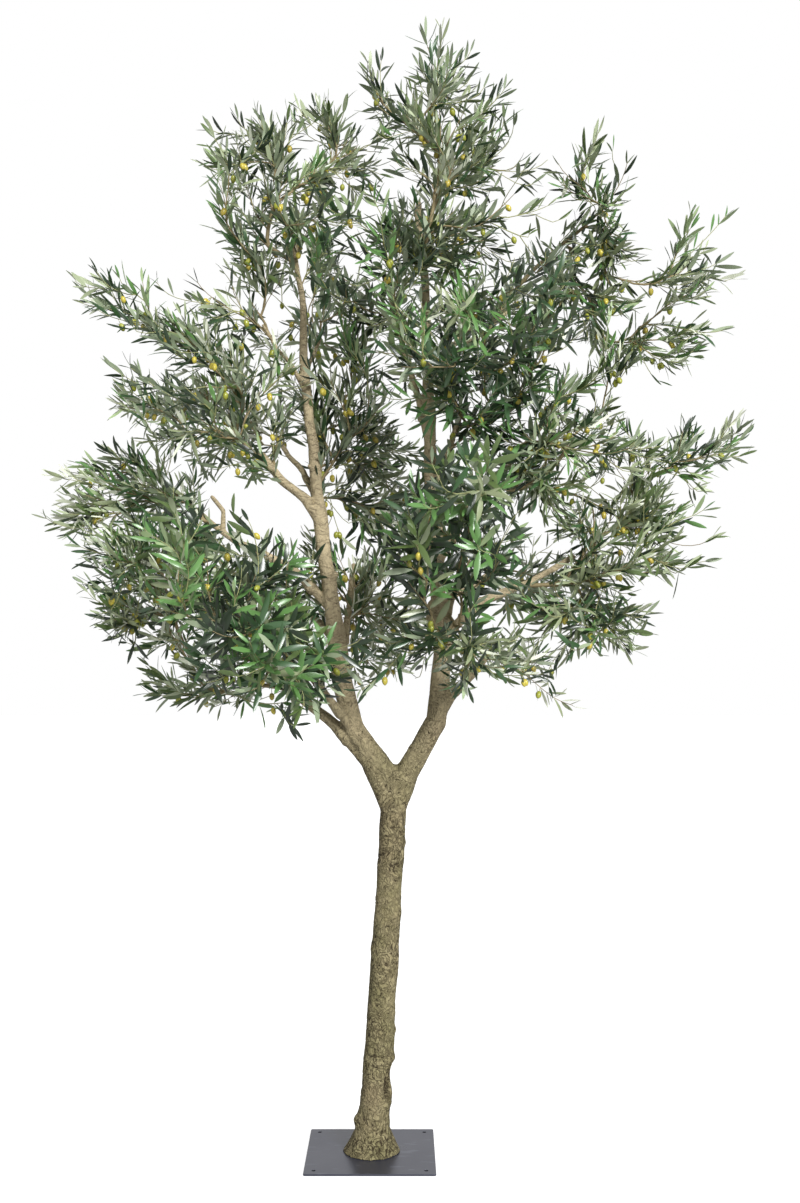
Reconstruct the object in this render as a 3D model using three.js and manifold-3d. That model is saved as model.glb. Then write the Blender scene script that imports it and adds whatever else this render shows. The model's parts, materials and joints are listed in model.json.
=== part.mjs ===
// An artificial olive tree, 3.5 m tall, on a square steel base plate. Millimetres, +Z up. The front faces
// -Y, with +X to its right. The origin is the middle of the plate's underside.
//
// The trunk leans a little and forks into two stems. Boughs leave the stems, and each carries one or more
// masses of foliage. A bough ends just inside the mass that it carries, in a socket cut round it, and
// masses that meet share a narrow seam.
import * as THREE from "three";
import { mergeVertices } from "three/addons/utils/BufferGeometryUtils.js";
import Module from "manifold-3d";

const wasm = await Module();
wasm.setup();

// ---- Driving dimensions ----

const seam = 0.4; // clearance between two solids that touch

const plate = {
  side: 400,
  thick: 6,
  holeAcross: 12,
  holeInset: 30, // from an edge to a hole's middle
  holeSegments: 4, // per quarter turn
};

const trunk = {
  forkHeight: 1200, // where the stems take over
  lean: 77, // how far its top stands off its foot, towards +X
  leanPower: 0.85, // under 1, it leans most near its foot
  crown: 38, // radius at its top
  waist: 9, // how much its radius gains by its foot
  flare: 41, // the root flare, on top of that
  flareHeight: 60,
  flarePower: 1.75,
  collar: 7, // the swelling under the fork
  collarHeight: 70,
  sides: 16,
  levels: [0, 0.03, 0.06, 0.1, 0.2, 0.4, 0.7, 0.93, 1], // shares of its height where it has a ring
};

const limbShape = {
  stemSides: 10,
  boughSides: 6,
  step: 230, // length of one step along a limb
  taperPower: 0.8, // under 1, a limb thins most near its start
  rise: 0.38, // how far a bough first follows its parent, as a share of its length
  turnAway: 0.45, // how much it turns away there, from 0 to 1
  lift: 0.35, // how much its end turns up
};

const massShape = {
  hold: 45, // how far a bough reaches into the mass that it carries
  unevenness: 0.3, // how far lobes stand out, as a share of the radius
  lobes: 4,
  lobeRate: 3.2, // waves are this to twice this many radians over the radius
  fullestAt: 0.4, // where a tapering mass has its stated radii, along its spine
  slender: 95, // a mass that is less high than this is made from a coarser sphere
};

// The two stems above the fork: [x, y, z] from the fork to the tip, and the radii at both ends.
const stems = {
  stem_left: {
    path: [
      [72, 0, 1150],
      [12, 0, 1232],
      [-68, 0, 1360],
      [-100, 8, 1540],
      [-154, 20, 1930],
      [-190, 25, 2250],
      [-238, 10, 2850],
    ],
    radii: [40, 8],
  },
  stem_right: {
    path: [
      [90, 0, 1150],
      [128, 0, 1222],
      [170, 0, 1290],
      [222, 0, 1395],
      [229, 0, 1545],
      [214, 0, 1740],
      [190, 5, 2180],
      [166, 10, 2690],
      [150, 10, 2980],
    ],
    radii: [39, 9],
  },
};

// Boughs: the limb that each leaves, the height where it leaves it, its end, and the radii at both ends.
const boughs = {
  left_high: { from: "stem_left", at: 1975, to: [-336, -60, 2185], radii: [16, 12] },
  left_arch: { from: "stem_left", at: 1700, to: [-564, 90, 2030], radii: [17, 10] },
  left_front: { from: "stem_left", at: 1300, to: [-245, -245, 1635], radii: [18, 12] },
  left_low: { from: "stem_left", at: 1215, to: [-345, 20, 1560], radii: [24, 14] },
  left_side: { from: "stem_left", at: 2380, to: [-340, -40, 2590], radii: [8, 6] },
  left_inner: { from: "stem_left", at: 1500, to: [-60, 180, 1850], radii: [14, 9] },
  left_back: { from: "stem_left", at: 1590, to: [-300, 260, 1760], radii: [14, 10] },
  left_rear: { from: "stem_left", at: 2050, to: [-330, 230, 2290], radii: [11, 8] },
  left_top: { from: "stem_left", at: 2400, to: [-170, 220, 2620], radii: [9, 7] },
  right_low: { from: "stem_right", at: 1385, to: [365, -60, 1560], radii: [18, 12] },
  right_front: { from: "stem_right", at: 1560, to: [250, -220, 1760], radii: [14, 10] },
  right_far: { from: "stem_right", at: 1610, to: [640, 50, 1880], radii: [17, 10] },
  right_high: { from: "stem_right", at: 1840, to: [570, 60, 2330], radii: [16, 10] },
  right_side: { from: "stem_right", at: 2060, to: [272, -90, 2290], radii: [12, 9] },
  right_rise: { from: "stem_right", at: 2200, to: [56, 10, 2700], radii: [14, 8] },
  right_tall: { from: "stem_right", at: 2420, to: [440, 20, 2640], radii: [10, 7] },
  right_back: { from: "stem_right", at: 1680, to: [400, 260, 1840], radii: [13, 9] },
  right_rear: { from: "stem_right", at: 2400, to: [290, 230, 2620], radii: [9, 7] },
  centre_back: { from: "stem_right", at: 1900, to: [130, 260, 2120], radii: [12, 8] },
};

// Foliage: the limb that carries each mass, its far tip, its radii across its spine towards the front
// (deep) and upwards or sideways (high), how far its spine arches up, and how much it thins towards its
// tip (taper). A mass starts at its limb's end, or at a root of its own.
const foliage = {
  top: { on: "stem_right", root: [190, 0, 2790], tip: [272, 40, 3545], deep: 220, high: 158, taper: 0.6 },
  top_front: {
    on: "right_rise", root: [76, 30, 2850], tip: [-35, 60, 3471], deep: 170, high: 90, taper: 0.5,
  },
  top_right: {
    on: "stem_right", root: [280, -60, 2690], tip: [475, -80, 3220], deep: 190, high: 92, taper: 0.5,
  },
  upper_left: { on: "stem_left", root: [-240, -60, 2690], tip: [-470, -100, 3240], deep: 240, high: 148 },
  upper_back: { on: "stem_left", root: [-225, 60, 2800], tip: [-200, 170, 3360], deep: 210, high: 180 },
  shoulder_left: { on: "left_side", tip: [-570, -80, 2760], deep: 150, high: 72 },
  high_left: { on: "left_high", tip: [-790, -170, 2375], deep: 240, high: 205, arch: 90 },
  tip_left: { on: "left_high", root: [-600, -130, 2520], tip: [-890, -120, 2755], deep: 130, high: 80 },
  arch_left: { on: "left_arch", tip: [-1070, 130, 1925], deep: 160, high: 105, arch: 155 },
  mid_left: {
    on: "left_low", root: [-330, -10, 1730], tip: [-925, -190, 1810], deep: 230, high: 195, taper: 0.1,
  },
  front_left: { on: "left_front", root: [-215, -215, 1620], tip: [-560, -740, 1900], deep: 230, high: 205 },
  low_left: { on: "left_front", root: [-150, -230, 1590], tip: [-400, -760, 1565], deep: 200, high: 130 },
  skirt_left: { on: "left_low", root: [-150, 40, 1480], tip: [-735, 60, 1415], deep: 200, high: 68 },
  back_left: { on: "left_back", tip: [-860, 640, 1820], deep: 270, high: 190 },
  rear_left: { on: "left_rear", tip: [-760, 620, 2450], deep: 250, high: 190 },
  rear_top: { on: "left_top", tip: [-190, 600, 2960], deep: 230, high: 205 },
  high_right: { on: "right_tall", root: [560, 20, 2640], tip: [740, 60, 3205], deep: 200, high: 150 },
  shoulder_right: { on: "right_high", tip: [1105, 20, 2935], deep: 200, high: 145, taper: 0.45 },
  elbow_right: { on: "right_high", root: [640, 40, 2420], tip: [1090, 0, 2590], deep: 170, high: 68 },
  mid_right: { on: "right_high", root: [420, -60, 2130], tip: [860, -190, 2210], deep: 200, high: 125 },
  far_right: {
    on: "right_far", root: [560, 50, 1950], tip: [1258, 90, 2310], deep: 210, high: 145, taper: 0.6,
  },
  low_right: { on: "right_far", root: [600, -40, 1800], tip: [1070, -100, 1905], deep: 200, high: 100 },
  skirt_right: { on: "right_low", root: [330, -70, 1600], tip: [860, -250, 1700], deep: 220, high: 125 },
  under_right: { on: "right_front", root: [165, -230, 1640], tip: [505, -545, 1500], deep: 170, high: 92 },
  heart_low: { on: "right_front", tip: [255, -700, 2110], deep: 220, high: 225 },
  heart_right: { on: "right_side", tip: [570, -480, 2720], deep: 220, high: 215 },
  heart_mid: { on: "right_side", root: [180, -120, 2360], tip: [160, -620, 2570], deep: 220, high: 190 },
  heart_high: { on: "right_rise", tip: [-100, -430, 2850], deep: 230, high: 190 },
  inner_left: { on: "left_inner", root: [-25, 150, 1900], tip: [-50, 190, 2700], deep: 180, high: 130 },
  inner_low: { on: "left_inner", root: [-50, 140, 1800], tip: [75, 520, 1470], deep: 190, high: 175 },
  back_right: { on: "right_back", tip: [800, 640, 1850], deep: 240, high: 160 },
  rear_right: { on: "right_rear", tip: [540, 600, 2780], deep: 230, high: 210 },
  rear_centre: { on: "centre_back", tip: [70, 740, 2190], deep: 240, high: 160 },
};

// ---- Materials ----

const bark = new THREE.MeshStandardMaterial({ color: 0x85795a, roughness: 0.9, metalness: 0 });
const leaf = new THREE.MeshStandardMaterial({ color: 0x4a6340, roughness: 0.6, metalness: 0 });
const paintedSteel = new THREE.MeshStandardMaterial({ color: 0x5f6069, roughness: 0.45, metalness: 0.3 });

// ---- Solids ----

// A closed three.js geometry as a manifold-3d solid.
function solidFrom(geometry) {
  const bare = geometry.clone();
  bare.deleteAttribute("normal");
  bare.deleteAttribute("uv");
  const merged = mergeVertices(bare, 1e-3);
  return new wasm.Manifold(
    new wasm.Mesh({
      numProp: 3,
      vertProperties: new Float32Array(merged.attributes.position.array),
      triVerts: new Uint32Array(merged.index.array),
    }),
  );
}

// A solid as a named mesh, with a material of its own.
function meshFrom(name, solid, material) {
  const { vertProperties, triVerts } = solid.getMesh();
  const geometry = new THREE.BufferGeometry();
  geometry.setAttribute("position", new THREE.BufferAttribute(vertProperties, 3));
  geometry.setIndex(new THREE.BufferAttribute(triVerts, 1));
  geometry.computeVertexNormals();
  const mesh = new THREE.Mesh(geometry, material.clone());
  mesh.name = name;
  return mesh;
}

// The largest piece of what a cut leaves.
function mainPiece(solid) {
  return solid.decompose().reduce((best, piece) => (piece.volume() > best.volume() ? piece : best));
}

function smoothCurve(points) {
  return new THREE.CatmullRomCurve3(points.map((p) => new THREE.Vector3(...p)));
}

// A round limb of changing radius along a curve: a cylinder whose rings are set along it. The limb is made
// larger all over by grow, to cut its own clearance out of a neighbour.
function limbSolid({ curve, radiusAt, sides, grow = 0 }) {
  const count = Math.max(3, Math.round(curve.getLength() / limbShape.step));
  const frames = curve.computeFrenetFrames(count);
  const rings = curve.getSpacedPoints(count);
  const geometry = new THREE.CylinderGeometry(1, 1, 1, sides, count);
  const vertex = new THREE.Vector3();
  const position = geometry.attributes.position;
  for (let i = 0; i < position.count; i++) {
    vertex.fromBufferAttribute(position, i);
    const k = Math.round((vertex.y + 0.5) * count);
    const radius = radiusAt(k / count) + grow;
    const overrun = k === 0 ? -grow : k === count ? grow : 0;
    const placed = rings[k]
      .clone()
      .addScaledVector(frames.binormals[k], vertex.x * radius)
      .addScaledVector(frames.normals[k], vertex.z * radius)
      .addScaledVector(frames.tangents[k], overrun);
    position.setXYZ(i, placed.x, placed.y, placed.z);
  }
  return solidFrom(geometry);
}

// Numbers from 0 to 1 that are the same on every run.
function seededNumbers(seed) {
  let state = seed * 2654435761;
  return () => {
    state = (state + 0x6d2b79f5) | 0;
    let t = Math.imul(state ^ (state >>> 15), 1 | state);
    t = (t + Math.imul(t ^ (t >>> 7), 61 | t)) ^ t;
    return ((t ^ (t >>> 14)) >>> 0) / 4294967296;
  };
}

// Lobes over a unit sphere, each a wave along its own direction: a function of the direction, from -1 to 1.
function lobesFrom(seed) {
  const random = seededNumbers(seed);
  const waves = Array.from({ length: massShape.lobes }, () => ({
    direction: new THREE.Vector3(random() - 0.5, random() - 0.5, random() - 0.5).normalize(),
    rate: massShape.lobeRate * (1 + random()),
    phase: 2 * Math.PI * random(),
  }));
  const heightOf = (n, { direction, rate, phase }) => Math.sin(rate * n.dot(direction) + phase);
  return (n) => waves.reduce((sum, wave) => sum + heightOf(n, wave), 0) / waves.length;
}

// A mass of foliage: a sphere drawn out along an arched spine, fuller near its root, with uneven lobes.
function massSolid({ root, tip, deep, high, arch = 0, taper = 0.3, seed, grow = 0 }) {
  const start = new THREE.Vector3(...root);
  const end = new THREE.Vector3(...tip);
  const ahead = end.clone().sub(start).normalize();
  start.addScaledVector(ahead, -grow);
  end.addScaledVector(ahead, grow);
  const middle = start.clone().lerp(end, 0.5).add(new THREE.Vector3(0, 0, 2 * arch));
  const spine = new THREE.QuadraticBezierCurve3(start, middle, end);
  const lobeAt = lobesFrom(seed);
  const geometry = new THREE.IcosahedronGeometry(1, high < massShape.slender ? 1 : 2);
  const position = geometry.attributes.position;
  const n = new THREE.Vector3();
  for (let i = 0; i < position.count; i++) {
    n.fromBufferAttribute(position, i);
    const t = THREE.MathUtils.clamp((n.x + 1) / 2, 0, 1);
    const along = spine.getTangent(t);
    const towardsBack = new THREE.Vector3(0, 1, 0).addScaledVector(along, -along.y).normalize();
    const upwards = along.clone().cross(towardsBack);
    const girth = (1 + taper * (massShape.fullestAt - t)) * (1 + massShape.unevenness * lobeAt(n));
    const placed = spine
      .getPoint(t)
      .addScaledVector(towardsBack, n.y * (deep * girth + grow))
      .addScaledVector(upwards, n.z * (high * girth + grow));
    position.setXYZ(i, placed.x, placed.y, placed.z);
  }
  return solidFrom(geometry);
}

// ---- Parts ----

function plateSolid() {
  const half = plate.side / 2;
  const outline = new THREE.Shape([
    new THREE.Vector2(-half, -half),
    new THREE.Vector2(half, -half),
    new THREE.Vector2(half, half),
    new THREE.Vector2(-half, half),
  ]);
  const offset = half - plate.holeInset;
  for (const x of [-offset, offset]) {
    for (const y of [-offset, offset]) {
      outline.holes.push(new THREE.Path().absarc(x, y, plate.holeAcross / 2, 0, 2 * Math.PI, true));
    }
  }
  const sheet = { depth: plate.thick, bevelEnabled: false, curveSegments: plate.holeSegments };
  return solidFrom(new THREE.ExtrudeGeometry(outline, sheet));
}

// How far the trunk's middle stands off the plate's at a height.
function trunkLean(z) {
  const share = (z - plate.thick) / (trunk.forkHeight - plate.thick);
  return trunk.lean * Math.pow(share, trunk.leanPower);
}

// The trunk's radius at a height, with its root flare and its collar under the fork.
function trunkRadius(z) {
  const waist = trunk.waist * (1 - z / trunk.forkHeight);
  const flare = trunk.flare * Math.exp(-Math.pow(z / trunk.flareHeight, trunk.flarePower));
  const collar = trunk.collar * Math.exp(-Math.pow((trunk.forkHeight - z) / trunk.collarHeight, 2));
  return trunk.crown + waist + flare + collar;
}

// The trunk is a stack of level rings, so that its foot is a flat cut on the plate.
function trunkSolid(grow = 0) {
  const last = trunk.levels.length - 1;
  const geometry = new THREE.CylinderGeometry(1, 1, 1, trunk.sides, last);
  const position = geometry.attributes.position;
  for (let i = 0; i < position.count; i++) {
    const k = Math.round((position.getY(i) + 0.5) * last);
    const z = THREE.MathUtils.lerp(plate.thick, trunk.forkHeight, trunk.levels[k]);
    const radius = trunkRadius(z) + grow;
    const overrun = k === last ? grow : 0;
    position.setXYZ(i, trunkLean(z) + position.getZ(i) * radius, position.getX(i) * radius, z + overrun);
  }
  return solidFrom(geometry);
}

// The point of a limb's curve at a height, found by halving.
function shareAtHeight(curve, z) {
  let low = 0;
  let high = 1;
  for (let i = 0; i < 30; i++) {
    const mid = (low + high) / 2;
    if (curve.getPointAt(mid).z < z) low = mid;
    else high = mid;
  }
  return low;
}

// A bough leaves its parent along it and bends to its end.
function boughCurve({ from, at, to }, limbs) {
  const parent = limbs[from].curve;
  const share = shareAtHeight(parent, at);
  const start = parent.getPointAt(share);
  const end = new THREE.Vector3(...to);
  const reach = start.distanceTo(end);
  const away = end.clone().sub(start).normalize();
  const first = parent.getTangentAt(share).lerp(away, limbShape.turnAway).normalize();
  const last = away.clone().add(new THREE.Vector3(0, 0, limbShape.lift)).normalize();
  return new THREE.CubicBezierCurve3(
    start,
    start.clone().addScaledVector(first, limbShape.rise * reach),
    end.clone().addScaledVector(last, -limbShape.rise * reach),
    end,
  );
}

// Each limb's curve, radius and sides. Boughs come after the limbs that they leave.
function describeLimbs() {
  const tapered = (curve, [thick, thin], sides) => ({
    curve,
    radiusAt: (t) => THREE.MathUtils.lerp(thick, thin, Math.pow(t, limbShape.taperPower)),
    sides,
  });
  const limbs = {};
  for (const [name, { path, radii }] of Object.entries(stems)) {
    limbs[name] = tapered(smoothCurve(path), radii, limbShape.stemSides);
  }
  for (const [name, bough] of Object.entries(boughs)) {
    limbs[name] = tapered(boughCurve(bough, limbs), bough.radii, limbShape.boughSides);
  }
  return limbs;
}

// Where a mass starts when no root is given: a little back from its limb's end, so that the end is held
// inside it.
function rootOf({ on, tip, root }, limbs) {
  if (root) return root;
  const end = limbs[on].curve.getPoint(1);
  const ahead = new THREE.Vector3(...tip).sub(end).normalize();
  return end.addScaledVector(ahead, -massShape.hold).toArray();
}

// Whether the boxes of two solids meet.
const touching = (a, b) => {
  const [p, q] = [a.boundingBox(), b.boundingBox()];
  return [0, 1, 2].every((i) => p.min[i] <= q.max[i] && q.min[i] <= p.max[i]);
};

// Each solid is cut by the grown copies of all that came before it, so that none overlaps another.
function buildTree() {
  const tree = new THREE.Group();
  const placed = [];
  const add = (name, solid, grown, material) => {
    const cutters = placed.filter((other) => touching(solid, other));
    const left = cutters.reduce((rest, cutter) => rest.subtract(cutter), solid);
    tree.add(meshFrom(name, mainPiece(left), material));
    placed.push(grown);
  };

  tree.add(meshFrom("base_plate", plateSolid(), paintedSteel));
  add("trunk", trunkSolid(), trunkSolid(seam), bark);

  const limbs = describeLimbs();
  for (const [name, limb] of Object.entries(limbs)) {
    add(name in boughs ? `bough_${name}` : name, limbSolid(limb), limbSolid({ ...limb, grow: seam }), bark);
  }
  Object.entries(foliage).forEach(([name, mass], index) => {
    const shape = { ...mass, root: rootOf(mass, limbs), seed: index + 1 };
    add(`leaves_${name}`, massSolid(shape), massSolid({ ...shape, grow: seam }), leaf);
  });
  return tree;
}

export default buildTree();
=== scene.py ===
# The looks of the artificial olive tree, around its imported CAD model. Metres, +Z up, the front faces -Y.
import json
import math
import random

import bmesh
import bpy
import numpy as np
from mathutils import Matrix, Vector, noise
from mathutils.bvhtree import BVHTree
from mathutils.kdtree import KDTree

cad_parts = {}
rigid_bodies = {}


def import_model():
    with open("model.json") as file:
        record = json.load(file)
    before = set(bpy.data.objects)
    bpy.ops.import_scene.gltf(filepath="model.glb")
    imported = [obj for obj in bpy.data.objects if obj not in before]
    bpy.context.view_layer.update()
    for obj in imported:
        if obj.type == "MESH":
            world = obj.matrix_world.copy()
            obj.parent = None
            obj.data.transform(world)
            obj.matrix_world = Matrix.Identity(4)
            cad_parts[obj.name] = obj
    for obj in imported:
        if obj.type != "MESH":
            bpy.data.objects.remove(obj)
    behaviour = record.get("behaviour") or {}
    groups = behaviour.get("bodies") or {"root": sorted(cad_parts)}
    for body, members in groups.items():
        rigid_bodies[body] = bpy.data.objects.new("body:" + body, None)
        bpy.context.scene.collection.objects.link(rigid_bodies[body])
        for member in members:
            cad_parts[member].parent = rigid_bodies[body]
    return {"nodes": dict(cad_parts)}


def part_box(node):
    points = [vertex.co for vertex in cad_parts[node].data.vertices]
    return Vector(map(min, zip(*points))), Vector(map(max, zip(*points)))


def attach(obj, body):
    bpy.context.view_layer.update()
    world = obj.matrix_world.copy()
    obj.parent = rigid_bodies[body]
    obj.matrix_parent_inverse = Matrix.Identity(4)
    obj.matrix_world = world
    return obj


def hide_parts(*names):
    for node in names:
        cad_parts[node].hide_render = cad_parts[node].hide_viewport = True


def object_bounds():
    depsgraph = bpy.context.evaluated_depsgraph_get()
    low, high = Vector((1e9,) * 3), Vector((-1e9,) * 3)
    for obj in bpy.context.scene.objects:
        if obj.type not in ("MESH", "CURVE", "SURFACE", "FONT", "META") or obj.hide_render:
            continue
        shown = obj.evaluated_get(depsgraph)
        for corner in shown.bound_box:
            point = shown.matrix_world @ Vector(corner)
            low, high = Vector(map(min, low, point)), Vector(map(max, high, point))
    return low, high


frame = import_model()
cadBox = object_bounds()
up = Vector((0, 0, 1))


camera = {"at": (0.091, -4.41, 1.57), "focal": 42.07, "sensor": 36.0, "rise": 0.042}


def addCamera():
    lens = bpy.data.cameras.new("camera")
    lens.sensor_width = camera["sensor"]  # along the frame's long side
    lens.lens = camera["focal"]
    lens.shift_y = camera["rise"]
    lens.clip_end = 200.0
    body = bpy.data.objects.new("camera", lens)
    bpy.context.scene.collection.objects.link(body)
    body.location = camera["at"]
    body.rotation_euler = (math.radians(90), 0, 0)
    bpy.context.scene.camera = body


addCamera()


class Wire:  # a socket whose sums and products add their own Math nodes
    def __init__(self, graph, socket):
        self.graph = graph
        self.socket = socket

    def __add__(self, other):
        return self.graph.maths("ADD", self, other)

    def __sub__(self, other):
        return self.graph.maths("SUBTRACT", self, other)

    def __rsub__(self, other):
        return self.graph.maths("SUBTRACT", other, self)

    def __mul__(self, other):
        return self.graph.maths("MULTIPLY", self, other)

    __radd__ = __add__
    __rmul__ = __mul__


class Graph:  # a node tree, shader or geometry
    def __init__(self, tree):
        self.tree = tree

    def node(self, kind, settings=None, values=None, output=0):
        made = self.tree.nodes.new(kind)
        for name, value in (settings or {}).items():
            if name == "stops":
                setStops(made.color_ramp, value)
            else:
                setattr(made, name, value)
        for name, value in (values or {}).items():
            if isinstance(value, Wire):
                self.tree.links.new(value.socket, made.inputs[name])
            else:
                made.inputs[name].default_value = value
        return Wire(self, made.outputs[output])

    def maths(self, operation, a, b=0.0):
        return self.node("ShaderNodeMath", {"operation": operation}, {0: a, 1: b})

    def ramp(self, value, *stops):
        return self.node("ShaderNodeValToRGB", {"stops": stops}, {0: value})

    def blend(self, share, low, high):
        return self.node("ShaderNodeMix", {"data_type": "RGBA"}, {0: share, 6: low, 7: high}, output=2)

    def grain(self, spot, scale, detail=4.0, roughness=0.55, distortion=0.0):
        return self.node("ShaderNodeTexNoise", None, {
            "Vector": spot, "Scale": scale, "Detail": detail, "Roughness": roughness, "Distortion": distortion,
        })

    def stretched(self, spot, factors):
        return self.node("ShaderNodeMapping", None, {"Vector": spot, "Scale": factors})


def setStops(colorRamp, stops):
    while len(colorRamp.elements) < len(stops):
        colorRamp.elements.new(1.0)
    for element, (position, shade) in zip(colorRamp.elements, stops):
        element.position = position
        element.color = shade if isinstance(shade, tuple) else (shade, shade, shade, 1.0)


def dye(red, green, blue):  # a display colour, 0 to 255, as a linear one
    linear = [((c / 255 + 0.055) / 1.055) ** 2.4 if c > 10 else c / 255 / 12.92 for c in (red, green, blue)]
    return (*linear, 1.0)


def newMaterial(name, roughness, colour=None, **settings):  # settings are shader sockets, spelled with _
    material = bpy.data.materials.new(name)
    material.use_nodes = True
    surface = material.node_tree.nodes["Principled BSDF"]
    surface.inputs["Roughness"].default_value = roughness
    if colour:
        surface.inputs["Base Color"].default_value = colour
    for socket, value in settings.items():
        surface.inputs[socket.replace("_", " ")].default_value = value
    return material, surface, Graph(material.node_tree)


barkLook = {
    "light": dye(150, 140, 108), "middle": dye(115, 107, 76), "dark": dye(50, 42, 27),
    "moss": dye(104, 103, 66), "earth": dye(128, 113, 88),
    "pale": dye(192, 176, 144), "paleFrom": 1.1, "paleFull": 1.6, "paleAndLitShare": 0.8,  # paler above the fork: partly the stems' own paler tone, partly painted light that offsets the crown's shadow on them
    "grain": 280.0, "wrinkle": 88.0, "fleck": 135.0, "crease": 42.0, "relief": 0.0034,
    # how dark the wrinkle, fleck and crease marks are painted, in the bumped grooves
    "wrinkleDark": 0.75, "fleckDark": 0.85, "creaseDark": 0.42,
    "calm": 0.75,  # how much fainter the marks are above the fork
}


def barkMaterial():
    look = barkLook
    material, surface, g = newMaterial("moulded bark", 0.85, Specular_IOR_Level=0.22)
    spot = g.node("ShaderNodeTexCoord", output="Object")
    # painted shade in the bark's recesses, kept on the mesh by reliefOn
    hollow = g.node("ShaderNodeAttribute", {"attribute_name": "hollow"}, output=2)
    swirl = g.node("ShaderNodeTexNoise", None, {"Vector": spot, "Scale": 26.0, "Detail": 2.0}, output=1)
    sway = g.node("ShaderNodeVectorMath", {"operation": "SCALE"}, {0: swirl, "Scale": 0.05})
    wandering = g.node("ShaderNodeVectorMath", {"operation": "ADD"}, {0: spot, 1: sway})
    drawn = g.stretched(wandering, (1.0, 1.0, 0.6))
    ripple = g.grain(drawn, look["wrinkle"], detail=2.0)
    wrinkle = g.maths("MAXIMUM", 1.0 - g.maths("ABSOLUTE", ripple - 0.5) * 10.0, 0.0)
    speck = g.grain(drawn, look["grain"], detail=5.0, roughness=0.7)
    blotch = g.grain(spot, 34.0, detail=4.0, roughness=0.6)
    patches = g.grain(spot, 7.0, detail=3.0)
    fleck = g.ramp(g.grain(drawn, look["fleck"], detail=2.0), (0.0, 0.0), (0.58, 0.0), (0.68, 1.0))
    tone = g.ramp(speck * 0.55 + blotch * 0.45, (0.38, 0.0), (0.60, 1.0))
    base = g.blend(tone, look["middle"], look["light"])
    mossy = g.blend(g.ramp(patches, (0.46, 0.0), (0.68, 0.6)), base, look["moss"])
    earthy = g.blend(g.ramp(patches, (0.32, 0.4), (0.45, 0.0)), mossy, look["earth"])
    height = g.node("ShaderNodeSeparateXYZ", None, {0: spot}, output=2)
    rise = g.node("ShaderNodeMapRange", None, {
        0: height, 1: look["paleFrom"], 2: look["paleFull"], 3: 0.0, 4: 1.0,
    })
    # partly painted light: the bark grows paler above the fork, to offset the crown's shadow on the stems as well as
    # for their own paler tone
    skin = g.blend(rise * look["paleAndLitShare"], earthy, look["pale"])
    across = g.stretched(wandering, (1.0, 1.0, 5.0))
    crease = g.ramp(g.grain(across, look["crease"], detail=3.0), (0.5, 0.0), (0.68, 1.0)) * rise
    coarse = g.ramp(g.grain(spot, 9.0, detail=2.0), (0.36, 0.4), (0.56, 1.0))  # some stretches are smoother
    marks = (wrinkle * look["wrinkleDark"] + fleck * look["fleckDark"]) * coarse
    calm = 1.0 - rise * look["calm"]
    # painted shade in the recesses, plus the dark wrinkle, fleck and crease marks
    shadeAndMarks = g.maths("MINIMUM", (hollow + marks) * calm + crease * look["creaseDark"], 0.94)
    g.tree.links.new(g.blend(shadeAndMarks, skin, look["dark"]).socket, surface.inputs["Base Color"])
    g.tree.links.new((speck * 0.2 + 0.72).socket, surface.inputs["Roughness"])
    level = speck * 0.6 + blotch * 0.4 - (wrinkle * 0.6 + fleck * 0.5) * calm - crease * 0.5
    bump = g.node("ShaderNodeBump", None, {"Strength": 1.0, "Distance": look["relief"], "Height": level})
    g.tree.links.new(bump.socket, surface.inputs["Normal"])
    return material


# hole is the near-black painted shade on the walls of the plate's holes
plateLook = {"paint": dye(60, 62, 74), "worn": dye(122, 126, 136), "hole": dye(16, 16, 18), "roughness": 0.38}


def plateMaterial():
    look = plateLook
    material, surface, g = newMaterial("painted steel", look["roughness"], Metallic=0.25, Specular_IOR_Level=0.5)
    spot = g.node("ShaderNodeTexCoord", output="Object")
    cloud = g.grain(spot, 5.0, detail=4.0)
    dust = g.ramp(g.grain(spot, 160.0, detail=2.0), (0.0, 0.0), (0.7, 0.0), (0.78, 1.0))
    rubbed = g.grain(g.stretched(spot, (0.35, 1.6, 1.0)), 34.0, detail=2.0)
    scuffs = g.ramp(rubbed, (0.0, 0.0), (0.62, 0.0), (0.68, 1.0))
    marks = g.maths("MAXIMUM", dust * 0.5, scuffs * 0.35)
    g.tree.links.new(g.blend(marks, look["paint"], look["worn"]).socket, surface.inputs["Base Color"])
    g.tree.links.new((cloud * 0.2 + 0.2 + marks * 0.2).socket, surface.inputs["Roughness"])
    skin = g.grain(spot, 420.0, detail=1.0)
    bump = g.node("ShaderNodeBump", None, {"Strength": 0.12, "Distance": 0.0004, "Height": skin + marks})
    g.tree.links.new(bump.socket, surface.inputs["Normal"])
    return material


# Leaf colours are plain and dealt out by spray: the upper side, the underside, and how often it comes up
leafDyes = {
    "deep": (dye(30, 48, 25), dye(126, 139, 111), 35),
    "green": (dye(51, 81, 46), dye(146, 160, 129), 26),
    "olive": (dye(80, 99, 53), dye(163, 174, 140), 18),
    "grey": (dye(132, 142, 107), dye(212, 217, 196), 13),
    "fresh": (dye(88, 128, 68), dye(148, 168, 122), 8),
}
oliveAndGrey = ("olive", "grey")
leafFinish = {"upper": 0.34, "under": 0.55, "shine": 0.75}


def leafSkin(kind, side):
    name, colour = f"leaf {kind} {side}", leafDyes[kind][side == "under"]
    return newMaterial(name, leafFinish[side], colour, Specular_IOR_Level=leafFinish["shine"])[0]


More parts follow.
